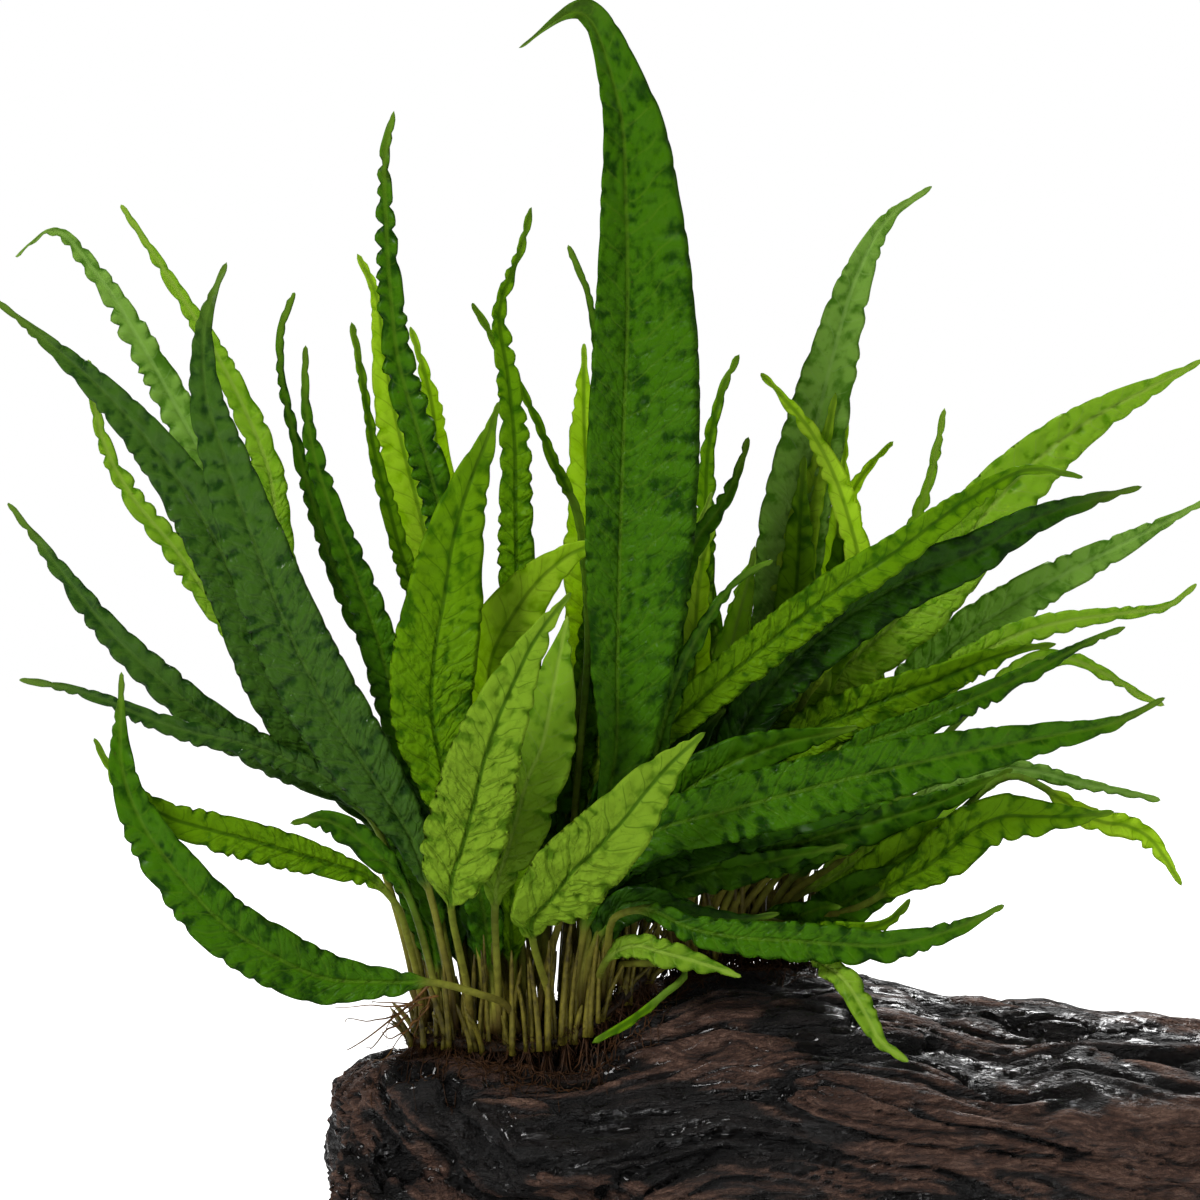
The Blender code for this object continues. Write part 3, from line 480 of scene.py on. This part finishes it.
def frond_mesh(lines, seed, ruffle, quilting, row_length):
    """A frond's mesh from its lines: a round stalk that opens into a thin, ruffled and quilted blade.
    Returns the vertices, faces and what each vertex keeps for the finish."""
    places, centres, left, right = lines
    random_here = random.Random(seed)
    length = places[-1]
    half = (np.linalg.norm(left, axis=1) + np.linalg.norm(right, axis=1)) / 2
    blade_from = next(places[i] for i in range(len(places)) if half[min(i + 1, len(half) - 1)] > 1.25 * MM
                      or i == len(places) - 1)
    stops = [0.0]
    while stops[-1] < length:
        stops.append(stops[-1] + (STALK_ROW_LENGTH if stops[-1] < blade_from - 3 * MM else row_length))
    at = np.array(stops[:-1])
    at[-1] = min(at[-1], length - 0.35 * MM)
    rows = len(at)
    centre = curve_through(places, centres, at)
    lv, rv = curve_through(places, left, at), curve_through(places, right, at)
    along = unit(np.gradient(centre, axis=0))
    side = unit(rv - lv)
    side = unit(side - along * np.sum(side * along, axis=1, keepdims=True))
    out = np.cross(side, along)
    rounding = np.sqrt(np.clip(1 - np.clip(1 - (length - at) / TIP_LENGTH, 0, 1) ** 2, 0.02, 1))
    least = TIP_HALF_WIDTH * rounding * smooth(at / length, 0.6, 0.8)
    lv = unit(lv) * np.maximum(np.linalg.norm(lv, axis=1), least)[:, None]
    rv = unit(rv) * np.maximum(np.linalg.norm(rv, axis=1), least)[:, None]
    width_left, width_right = np.linalg.norm(lv, axis=1), np.linalg.norm(rv, axis=1)
    local = (width_left + width_right) / 2
    widest = float(max(width_left.max(), width_right.max()))
    stalk = 1 - smooth((width_left + width_right) / 2, 1.0 * MM, 2.1 * MM)
    stalk[at > length * 0.7] = 0.0
    y = at / MM

    # The outline's scallops, the edge's waves and how they drift along the blade.
    wave = (WAVE_LENGTH + WAVE_GROWTH * widest / MM) * (0.9 + 0.3 * random_here.random())
    drift = np.array([noise.noise(Vector((v / 13, seed * 3.1, 0.0))) for v in y])
    turns = {-1: 2 * math.pi * (y / wave + 1.5 * drift),
             1: 2 * math.pi * (y / (wave * 1.17) - 1.4 * drift) + 2}
    vigour = {s: 0.8 + 0.9 * np.array([noise.noise(Vector((v / 9, seed * 1.7, s * 5.0))) for v in y])
              for s in (-1, 1)}
    reach = (WAVE_RISE + RISE_GROWTH * local / MM) * MM * ruffle * smooth(1 - stalk, 0.0, 0.8)
    reach = reach * (0.35 + 0.65 * smooth(length - at, 0.0, 14 * MM))

    last = 2 * int(np.clip(2 + widest / MM, 4, 9))
    q = np.linspace(-1, 1, last + 1)
    flat = np.sign(q) * np.abs(q) ** 1.2
    ring = np.pi * np.arange(last + 1) / last
    vein_gap = VEIN_GAP + GAP_GROWTH * widest / MM
    grid = {}
    for face in (1, -1):
        points, keeps = [], []
        for j, a in enumerate(flat):
            hand = -1 if a < 0 else 1
            edge_vector = lv if a < 0 else rv
            lobes = 1 - (1 - np.abs(np.sin(turns[hand] / 2 + 0.6))) ** 1.6
            depth = LOBE_DEPTH / np.maximum(local, 1.6 * MM)
            scallop = 1 + depth * ruffle * (lobes - 0.5) * abs(a) ** 1.5 * np.clip(vigour[hand], 0.25, 1.3)
            blade = centre + edge_vector * (abs(a) * scallop)[:, None]
            x = hand * np.linalg.norm(edge_vector, axis=1) * abs(a) / MM
            ruffled = reach * vigour[hand] * abs(a) ** 1.7 * np.sin(turns[hand])
            vein = (y - 0.85 * np.abs(x) + 0.3 * vein_gap * np.tanh(x)) / vein_gap
            vein = vein + 0.22 * np.array([noise.noise(Vector((p / 6, r / 6, seed))) for p, r in zip(x, y)])
            swell = np.sin(np.pi * (vein % 1.0)) ** 2 * np.sin(np.pi * min(abs(a), 0.96)) ** 0.8
            pucker = np.array([noise.noise(Vector((p / 1.9, r / 2.3, seed + 9))) for p, r in zip(x, y)])
            size = smooth(local, 0.9 * MM, 6 * MM)
            quilt = (0.38 * swell + 0.62 * pucker * (1 - abs(a) ** 4)) * MM * size * quilting
            thick = (BLADE_HALF_THICKNESS + INNER_THICKENING * (1 - abs(a))) * MM
            if face < 0:
                ridge = MIDRIB_RIDGE * MM * np.exp(-(x / 0.5) ** 2)
                thick = thick + ridge * smooth(length - at, 0, length * 0.6)
            else:
                groove = MIDRIB_GROOVE * MM * np.exp(-(x / 0.5) ** 2)
                thick = thick - groove * smooth(width_left + width_right, 3 * MM, 6 * MM)
            lift = ruffled + quilt * (1 - stalk)
            if j in (0, last):
                thick = np.zeros(rows)
            blade = blade + out * (lift + face * thick)[:, None]
            round_place = (centre - side * (math.cos(ring[j]) * STALK_RADIUS)
                           + out * (face * math.sin(ring[j]) * STALK_RADIUS))
            points.append(blade + (round_place - blade) * stalk[:, None])
            zeros = np.zeros(rows)
            # lift is kept for the finish, which paints light and shade from it.
            keeps.append(np.stack([x, y, zeros + seed, zeros + a, at / length, vein + 20, stalk,
                                   lift / MM + 0.5, zeros], axis=1))
        grid[face] = (np.stack(points, axis=1), np.stack(keeps, axis=1))

    front, back = grid[1], grid[-1]
    inner = slice(1, last)
    verts = np.concatenate([front[0], back[0][:, inner][:, ::-1]], axis=1)
    keeps = np.concatenate([front[1], back[1][:, inner][:, ::-1]], axis=1)
    around = verts.shape[1]
    tip_keep = keeps[-1].mean(axis=0)
    tip_keep[0], tip_keep[1], tip_keep[3], tip_keep[4] = 0.0, length / MM, 0.0, 1.0
    foot_keep = keeps[0].mean(axis=0)
    all_verts = np.concatenate([verts.reshape(-1, 3), centres[-1][None], centres[0][None]])
    all_keeps = np.concatenate([keeps.reshape(-1, 9), tip_keep[None], foot_keep[None]])
    faces = []
    for r in range(rows - 1):
        for c in range(around):
            n = (c + 1) % around
            faces.append((r * around + c, r * around + n, (r + 1) * around + n, (r + 1) * around + c))
    tip, foot = rows * around, rows * around + 1
    for c in range(around):
        n = (c + 1) % around
        faces.append(((rows - 1) * around + c, (rows - 1) * around + n, tip))
        faces.append((n, c, foot))
    return all_verts, faces, all_keeps


def add_mesh(name, verts, faces, keeps=None, kept_as=(), finish=None):
    mesh = bpy.data.meshes.new(name)
    mesh.from_pydata([tuple(v) for v in verts], [], faces)
    for i, kept_name in enumerate(kept_as):
        store = mesh.attributes.new(kept_name, "FLOAT_VECTOR", "POINT")
        kept = np.ascontiguousarray(keeps[:, 3 * i:3 * i + 3], np.float32)
        store.data.foreach_set("vector", kept.ravel())
    mesh.shade_smooth()
    mesh.update()
    made = bpy.data.objects.new(name, mesh)
    bpy.context.scene.collection.objects.link(made)
    if finish:
        mesh.materials.append(finish)
    return made


FROND_KEEPS = ("blade_place", "blade_growth", "blade_form")


def fix_outward(verts, faces):
    """The faces, turned over if they look inwards."""
    inside = 0.0
    for f in faces[::7]:
        a, b, c = (verts[f[0]], verts[f[1]], verts[f[2]])
        inside += np.dot(a, np.cross(b, c))
    return faces if inside > 0 else [tuple(reversed(f)) for f in faces]


def young_lines(young, lines, seed):
    """The lines of a small frond, blended from the two it grows between."""
    share = np.linspace(0.0, 1.0, 13)
    ends = []
    for name in (young.host, young.other):
        places, centres = lines[name][0], lines[name][1]
        ends.append(curve_through(places, centres, share * places[-1] * young.reach))
    centre = ends[0] * (1 - young.share) + ends[1] * young.share
    sway = np.array([noise.noise_vector(Vector((s * 1.7, seed * 2.3, 0.0))) for s in share])
    centre = centre + sway * (7 * MM * share ** 1.5)[:, None]
    centre[:, 1] += young.behind * smooth(share, 0.05, 0.5)
    along = unit(np.gradient(centre, axis=0))
    side = unit(np.cross(np.array([0.0, 1.0, 0.0]), along))
    out = np.cross(side, along)
    turn = math.radians(young.turn) * (0.4 + 0.6 * share)[:, None]
    side = side * np.cos(turn) + out * np.sin(turn)
    blade = np.clip((share - YOUNG_STALK) / (1 - YOUNG_STALK), 0, 1)
    rising = np.sin(np.pi / 2 * np.clip(blade / 0.4, 0, 1))
    falling = np.sin(np.pi / 2 * np.clip((1 - blade) / 0.6, 0, 1)) ** 1.1
    half = np.maximum(young.width / 2 * np.minimum(rising, falling), STALK_RADIUS)
    half[-1] = 0.0
    dip = out * (half * 0.3)[:, None]
    steps = np.linalg.norm(np.diff(centre, axis=0), axis=1)
    return (np.concatenate([[0.0], np.cumsum(steps)]), centre, dip - side * half[:, None],
            dip + side * half[:, None])


def frond_parts(name, lines, look, seed):
    """One frond's vertices, faces facing outwards, keeps and finish."""
    verts, faces, keeps = frond_mesh(lines, seed, RUFFLES.get(name, USUAL_RUFFLE),
                                     QUILTING.get(name, USUAL_QUILTING),
                                     ROW_LENGTH if name else YOUNG_ROW_LENGTH)
    return verts, fix_outward(verts - verts.mean(axis=0), faces), keeps, look


def seed_of(name):
    return float(sum(ord(c) * (i + 3) for i, c in enumerate(name)) % 97)


def build_fronds():
    lines = {name: frond_lines("frond_" + name) for names in FROND_LOOKS.values() for name in names.split()}
    parts = {name: [frond_parts(name, lines[name], look, seed_of(name))]
             for look, names in FROND_LOOKS.items() for name in names.split()}
    for i, young in enumerate(YOUNG_FRONDS):
        seed = 100.0 + i
        parts[young.host].append(frond_parts("", young_lines(young, lines, seed), young.look, seed))
    parts["bare_stalk"] = [frond_parts("", frond_lines("bare_stalk"), "mid", 5.0)]
    for name, joined in parts.items():
        node = name if name == "bare_stalk" else "frond_" + name
        verts, faces, keeps = [], [], []
        for some_verts, some_faces, some_keeps, look in joined:
            shift = sum(len(v) for v in verts)
            verts.append(some_verts)
            faces.append([tuple(i + shift for i in f) for f in some_faces])
            keeps.append(some_keeps)
        made = add_mesh(node + "_blade", np.concatenate(verts), [f for some in faces for f in some],
                        np.concatenate(keeps), FROND_KEEPS)
        looks = list(dict.fromkeys(part[3] for part in joined))
        for look in looks:
            made.data.materials.append(LEAF_FINISHES[look])
        slots = [looks.index(part[3]) for part, some in zip(joined, faces) for _ in some]
        made.data.polygons.foreach_set("material_index", slots)
        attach(made, "root")
        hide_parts(node)


# ---------------------------------------------------------------- driftwood

WOOD_CELL = 1.05 * MM
GRAIN_DIP_AT, GRAIN_DIP = (-70, -20, 30, 170), (-30, 12, 0, 26)
# Bands along the front where the dark skin is worn down to brown wood: x and z of both ends and half width.
WORN_BANDS = [((-66, 66), (-18, 22), 6), ((28, 74), (170, 42), 9), ((-12, 44), (70, 22), 5),
              ((-64, 36), (-40, 6), 7)]


def ridged(value):
    return 1 - np.abs(value) * 2


def build_driftwood():
    """The log's solid, remeshed finely and carved with grain, clefts and pits."""
    mesh = NODES["driftwood"].data.copy()
    log = bpy.data.objects.new("driftwood_log", mesh)
    bpy.context.scene.collection.objects.link(log)
    fine = log.modifiers.new("fine", "REMESH")
    fine.mode = "VOXEL"
    fine.voxel_size = WOOD_CELL
    soft = log.modifiers.new("soft", "SMOOTH")
    soft.factor, soft.iterations = 0.5, 6
    bpy.context.view_layer.update()
    graph = bpy.context.evaluated_depsgraph_get()
    made = bpy.data.meshes.new_from_object(log.evaluated_get(graph))
    bpy.data.objects.remove(log)
    count = len(made.vertices)
    places, normals = np.zeros(count * 3), np.zeros(count * 3)
    made.vertices.foreach_get("co", places)
    made.vertices.foreach_get("normal", normals)
    places, normals = places.reshape(-1, 3), normals.reshape(-1, 3)
    p = places / MM

    def field(sx, sy, sz, shift, warp=None):
        q = p / np.array([sx, sy, sz])
        if warp is not None:
            q = q + warp[:, None] * np.array([0.0, 1.0, 1.0])
        return noise_at(q, 1.0, shift)

    # The grain runs along the log and dips towards its left end and, gently, towards its right.
    grain = np.interp(p[:, 0], GRAIN_DIP_AT, GRAIN_DIP) * smooth(-normals[:, 1], 0.0, 0.5)
    p[:, 2] += grain
    warp = field(75, 34, 34, 3.0) * 1.3 + field(30, 16, 16, 9.0) * 0.22
    big = field(48, 17, 17, 1.0, warp * 0.5)
    cleft = np.clip(ridged(field(85, 9.0, 9.0, 2.0, warp)) - 0.66, 0, 1) / 0.34
    furrow = np.clip(ridged(field(60, 4.4, 4.4, 5.0, warp * 2.2)) - 0.42, 0, 1) / 0.58
    strand = ridged(field(42, 2.3, 2.3, 7.0, warp * 4.0))
    chip = field(11, 3.4, 3.4, 11.0)
    depth = 1.7 * big + 0.55 * strand + 0.55 * chip - 3.6 * cleft ** 1.4 - 1.7 * furrow ** 1.3
    on_end = np.abs(normals[:, 0])
    depth = depth * (1 - 0.35 * on_end)
    flat = smooth(p[:, 2], 0.4, 3.0)
    moved = places + normals * (depth * flat * MM)[:, None]
    lowest = places[:, 2] < 0.6 * MM
    moved[lowest, 2] = 0.0
    moved[:, 2] = np.maximum(moved[:, 2], 0.0)
    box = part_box("driftwood")
    moved = np.clip(moved, np.array(box[0]), np.array(box[1]))
    made.vertices.foreach_set("co", moved.ravel())
    # groove marks the clefts and furrows, where the wood's finish paints shade.
    groove = np.clip(cleft ** 1.2 + 0.75 * furrow - 0.2 * strand, 0, 1)
    worn = 0.30 + 0.9 * field(60, 22, 22, 15.0) + 0.35 * big
    true = places / MM
    for (ax, az), (bx, bz), half in WORN_BANDS:
        run = np.array([bx - ax, bz - az])
        away = true[:, [0, 2]] - np.array([ax, az])
        reached = np.clip(away @ run / (run @ run), 0, 1)
        off = np.linalg.norm(away - reached[:, None] * run, axis=1)
        worn += 0.75 * (1 - smooth(off, half * 0.5, half * 1.6)) * smooth(-normals[:, 1], -0.1, 0.3)
    worn = np.clip(worn, 0, 1)
    keeps = np.stack([groove, worn, on_end], axis=1).astype(np.float32)
    made.attributes.new("wood_form", "FLOAT_VECTOR", "POINT").data.foreach_set("vector", keeps.ravel())
    made.shade_smooth()
    made.materials.clear()
    made.materials.append(WOOD)
    made.update()
    log = bpy.data.objects.new("driftwood_log", made)
    bpy.context.scene.collection.objects.link(log)
    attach(log, "root")
    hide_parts("driftwood")
    return log


# ---------------------------------------------------------------- rhizomes and roots

def tube(path, radii, sides=6):
    """A closed tube along a path, as vertices and faces."""
    path = np.array(path)
    along = unit(np.gradient(path, axis=0))
    up = np.array([0.0, 0.0, 1.0])
    side = np.cross(along, up)
    side[np.linalg.norm(side, axis=1) < 1e-3] = [1.0, 0.0, 0.0]
    side = unit(side)
    over = np.cross(side, along)
    verts, faces = [], []
    for c, s, o, r in zip(path, side, over, radii):
        for k in range(sides):
            turn = 2 * math.pi * k / sides
            verts.append(c + s * (r * math.cos(turn)) + o * (r * math.sin(turn)))
    for i in range(len(path) - 1):
        for k in range(sides):
            n = (k + 1) % sides
            faces.append((i * sides + k, i * sides + n, (i + 1) * sides + n, (i + 1) * sides + k))
    faces.append(tuple(range(sides - 1, -1, -1)))
    last = (len(path) - 1) * sides
    faces.append(tuple(last + k for k in range(sides)))
    return verts, faces


def join(pieces):
    """Several vertex and face lists as one."""
    verts, faces = [], []
    for some_verts, some_faces in pieces:
        shift = len(verts)
        verts.extend(some_verts)
        faces.extend(tuple(i + shift for i in f) for f in some_faces)
    return verts, faces


def rhizome_line(node):
    """A rhizome's centre line, read back from its solid's rings."""
    shape = bmesh.new()
    shape.from_mesh(NODES[node].data)
    bmesh.ops.remove_doubles(shape, verts=shape.verts, dist=2e-6)
    start = min(shape.verts, key=lambda v: v.co.x - v.co.y * 0.01)
    seen, edge, line = {start}, [start], []
    while edge:
        line.append(np.mean([np.array(v.co) for v in edge], axis=0))
        edge = [e.other_vert(v) for v in edge for e in v.link_edges]
        edge = list(dict.fromkeys(other for other in edge if other not in seen))
        seen.update(edge)
    shape.free()
    return line[1:]


# How far the roots may reach past the root mat's solid.
ROOT_SPREAD = 4 * MM
# The rhizomes that bear roots, with how many creeping roots and how many hairs each has.
ROOTED = (("rhizome_left", 620, 2600), ("rhizome_right", 340, 1300))
# The stops along a hair, and its radius at each.
HAIR_STOPS = (0.0, 0.4, 0.75, 1.0)
HAIR_RADII = (0.13 * MM, 0.11 * MM, 0.08 * MM, 0.03 * MM)


def build_roots(log):
    """Fine brown roots that creep from the rhizomes over the wood, and the scaly hairs that clothe them."""
    ground = BVHTree.FromObject(log, bpy.context.evaluated_depsgraph_get())
    low, high = (np.array(corner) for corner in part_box("root_mat"))
    rng = random.Random(11)
    pieces = []
    for node, count, hairs in ROOTED:
        shape = NODES[node].data
        for _ in range(count):
            start = rng.choice(shape.vertices).co
            heading = rng.uniform(0, 2 * math.pi)
            place = Vector((start.x, start.y, 0.0))
            path, thick = [np.array(start)], rng.uniform(0.09, 0.24) * MM
            for step in range(rng.randint(6, 18)):
                step_on = Vector((math.cos(heading), math.sin(heading), 0))
                place = place + step_on * rng.uniform(0.8, 1.8) * MM
                hit = ground.ray_cast(Vector((place.x, place.y, 0.3)), Vector((0, 0, -1)))
                if hit[0] is None or hit[1].z < 0.1:
                    break
                loose = max(0.2, 2.2 - step) + rng.uniform(-0.3, 0.7)
                path.append(np.array(hit[0]) + np.array([0, 0, loose * MM]))
                heading += rng.uniform(-0.75, 0.75)
            if len(path) > 3:
                taper = [thick * (1 - 0.6 * i / len(path)) for i in range(len(path))]
                pieces.append(tube(path, taper, 4))
        for _ in range(hairs):
            face = rng.choice(shape.polygons)
            corners = [shape.vertices[i].co for i in face.vertices]
            shares = [rng.random() for _ in corners]
            at = sum((c * s for c, s in zip(corners, shares)), Vector()) / sum(shares)
            bend = Vector((rng.uniform(-1, 1), rng.uniform(-1, 1), rng.uniform(-0.9, 0.5)))
            reach = rng.uniform(1.0, 3.4) * MM
            path = [np.array(at + (face.normal * t + bend * t * t * 0.8) * reach) for t in HAIR_STOPS]
            pieces.append(tube(path, HAIR_RADII, 3))
    verts, faces = join(pieces)
    verts = np.clip(np.array(verts), low - ROOT_SPREAD, high + ROOT_SPREAD)
    roots = add_mesh("root_fibres", verts, faces, finish=ROOT)
    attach(roots, "root")
    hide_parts("root_mat")


# The rhizomes' old stalks: how many and how tall at most.
OLD_STALKS = {"rhizome_left": (210, 34 * MM), "rhizome_right": (90, 36 * MM)}
OLD_STALK_TAPER = ((0.0, 0.85, 1.0), (0.95 * MM, 0.65 * MM, 0.2 * MM))


def build_old_stalks():
    """The bare bases of old fronds, standing close together along each rhizome and spreading a little."""
    rng = random.Random(23)
    for node, (count, tallest) in OLD_STALKS.items():
        line = np.array(rhizome_line(node))
        middle = line.mean(axis=0)
        share = np.linspace(0.0, 1.0, 7)[:, None]
        pieces = []
        for _ in range(count):
            start = line[rng.randrange(len(line))]
            start = start + np.array([rng.gauss(0, 1.2), rng.gauss(0, 1.6), -1.5]) * MM
            sway = np.array([rng.gauss(0, 1.5), rng.gauss(0, 1.5), 0.0]) * MM
            spread = (start - middle) * np.array([1.0, 1.0, 0.0]) * rng.uniform(0.0, 0.25) + sway
            inside = 1 - 0.65 * min(1.0, abs(start[0] - middle[0]) / (30 * MM)) ** 2
            tall = np.array([0.0, 0.0, rng.uniform(0.3, 1.0) * tallest * inside])
            thick = rng.uniform(0.6, 1.1)
            pieces.append(tube(start + spread * share ** 1.5 + tall * share,
                               np.interp(share[:, 0], *OLD_STALK_TAPER) * thick))
        made = add_mesh(node + "_old_stalks", *join(pieces), finish=OLD_STALK)
        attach(made, "root")
        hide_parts(node)


def build_rhizomes():
    for node in ("rhizome_left", "rhizome_right"):
        mesh = NODES[node].data.copy()
        shape = bmesh.new()
        shape.from_mesh(mesh)
        bmesh.ops.remove_doubles(shape, verts=shape.verts, dist=2e-6)
        bmesh.ops.subdivide_edges(shape, edges=shape.edges, cuts=3, use_grid_fill=True, smooth=0.8)
        shape.normal_update()
        for v in shape.verts:
            p = v.co / MM
            scale = abs(noise.noise(p * 0.9)) * 0.5 + noise.noise(p * 2.4) * 0.3
            v.co -= v.normal * scale * MM
        shape.to_mesh(mesh)
        shape.free()
        mesh.shade_smooth()
        mesh.materials.clear()
        mesh.materials.append(RHIZOME)
        made = bpy.data.objects.new(node + "_bark", mesh)
        bpy.context.scene.collection.objects.link(made)
        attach(made, "root")
        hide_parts(node)


AERIAL_STRANDS = 9


def build_aerial_root():
    """Brown roots that hang free beside the rhizome, forking as they go."""
    line = np.array(rhizome_line("aerial_root"))
    rng = random.Random(4)
    share = np.linspace(0.0, 1.0, 30)
    # The line is read from its low left end, and the roots leave from the other.
    main = curve_through(np.linspace(0.0, 1.0, len(line)), line, share)[::-1]
    pieces = [tube(main, np.interp(share, (0, 1), (0.42, 0.16)) * MM, 6)]
    for strand in range(AERIAL_STRANDS):
        leave = rng.randrange(0, 14)
        reach = rng.uniform(0.35, 0.95)
        path = main[leave:] - main[leave]
        t = np.linspace(0.0, 1.0, len(path))
        turn = rng.uniform(-0.7, 0.5)
        turned = np.stack([path[:, 0] * math.cos(turn) - path[:, 2] * math.sin(turn), path[:, 1],
                           path[:, 0] * math.sin(turn) + path[:, 2] * math.cos(turn)], axis=1)
        sway = np.array([noise.noise_vector(Vector((v * 3.0, strand * 4.0, 0.0))) for v in t])
        sway = sway * 5 * MM * t[:, None]
        aside = np.array([rng.uniform(0, 9), rng.uniform(-1, 8), rng.uniform(-6, 2)]) * MM
        aside = aside * (strand % 3 != 0)
        path = main[leave] + aside + turned * reach + sway
        pieces.append(tube(path, np.interp(t, (0, 1), (rng.uniform(0.24, 0.4), 0.09)) * MM, 5))
    roots = add_mesh("aerial_root_strands", *join(pieces), finish=STRAND)
    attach(roots, "root")
    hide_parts("aerial_root")


# ---------------------------------------------------------------- camera, floor and light

VIEW_CENTRE = Vector((0.0, 0.0, 0.1825))
VIEW_DISTANCE = 2.6
VIEW_HEIGHT = math.radians(8.0)
VIEW_WIDTH = 0.300
FILM_WIDTH = 36.0
ROOM_LIGHT = 0.22
# The distances between which the floor fades into the pale surround.
FLOOR_FADE = (0.45, 1.1)


def build_camera():
    lens = bpy.data.cameras.new("camera")
    lens.sensor_width = FILM_WIDTH
    lens.lens = FILM_WIDTH * VIEW_DISTANCE / VIEW_WIDTH
    lens.clip_end = 50
    camera = bpy.data.objects.new("camera", lens)
    bpy.context.scene.collection.objects.link(camera)
    back = Vector((0.0, -math.cos(VIEW_HEIGHT), math.sin(VIEW_HEIGHT)))
    camera.location = VIEW_CENTRE + back * VIEW_DISTANCE
    camera.rotation_euler = (math.pi / 2 - VIEW_HEIGHT, 0.0, 0.0)
    bpy.context.scene.camera = camera


def add_softbox(name, place, aim, size, power, sheen=1.0):
    """A square lamp that looks at aim. sheen is how strongly it shows in reflections."""
    light = bpy.data.lights.new(name, "AREA")
    light.specular_factor = sheen
    light.shape, light.size, light.energy = "SQUARE", size, power
    made = bpy.data.objects.new(name, light)
    bpy.context.scene.collection.objects.link(made)
    made.location = place
    made.rotation_euler = (Vector(place) - Vector(aim)).to_track_quat("Z", "Y").to_euler()


def build_studio():
    bpy.ops.mesh.primitive_plane_add(size=2.4, location=(0, 0, 0))
    floor = bpy.context.object
    floor.name = "floor"
    plain = Finish("pale_floor", Roughness=0.9, Specular_IOR_Level=0.1)
    x, y, _ = (plain.out(plain.node("SeparateXYZ", None, plain.out(plain.node("TexCoord"), 3)), i)
               for i in range(3))
    away = (x * x + y * y) ** 0.5
    plain.surface(Base_Color=(0.93, 0.93, 0.93, 1.0), Alpha=1 - away.rise(*FLOOR_FADE))
    floor.data.materials.append(plain.material)

    world = bpy.data.worlds.new("studio")
    world.use_nodes = True
    nodes, links = world.node_tree.nodes, world.node_tree.links
    seen, shone = nodes["Background"], nodes.new("ShaderNodeBackground")
    seen.inputs["Color"].default_value = shone.inputs["Color"].default_value = (1.0, 1.0, 1.0, 1.0)
    seen.inputs["Strength"].default_value = 1.0
    shone.inputs["Strength"].default_value = ROOM_LIGHT
    ray, either = nodes.new("ShaderNodeLightPath"), nodes.new("ShaderNodeMixShader")
    links.new(ray.outputs["Is Camera Ray"], either.inputs[0])
    links.new(shone.outputs[0], either.inputs[1])
    links.new(seen.outputs[0], either.inputs[2])
    links.new(either.outputs[0], nodes["World Output"].inputs["Surface"])
    bpy.context.scene.world = world

    add_softbox("key", (-1.1, -1.1, 1.4), (0, 0, 0.15), 0.5, 38)
    add_softbox("back", (0.35, 1.2, 1.6), (0, 0, 0.17), 0.6, 52, 0.3)
    add_softbox("side", (1.5, -0.6, 0.8), (0, 0, 0.15), 0.5, 5)
    bpy.context.scene.view_settings.view_transform = "Standard"


build_camera()
build_studio()
build_fronds()
log = build_driftwood()
build_rhizomes()
build_old_stalks()
build_roots(log)
build_aerial_root()
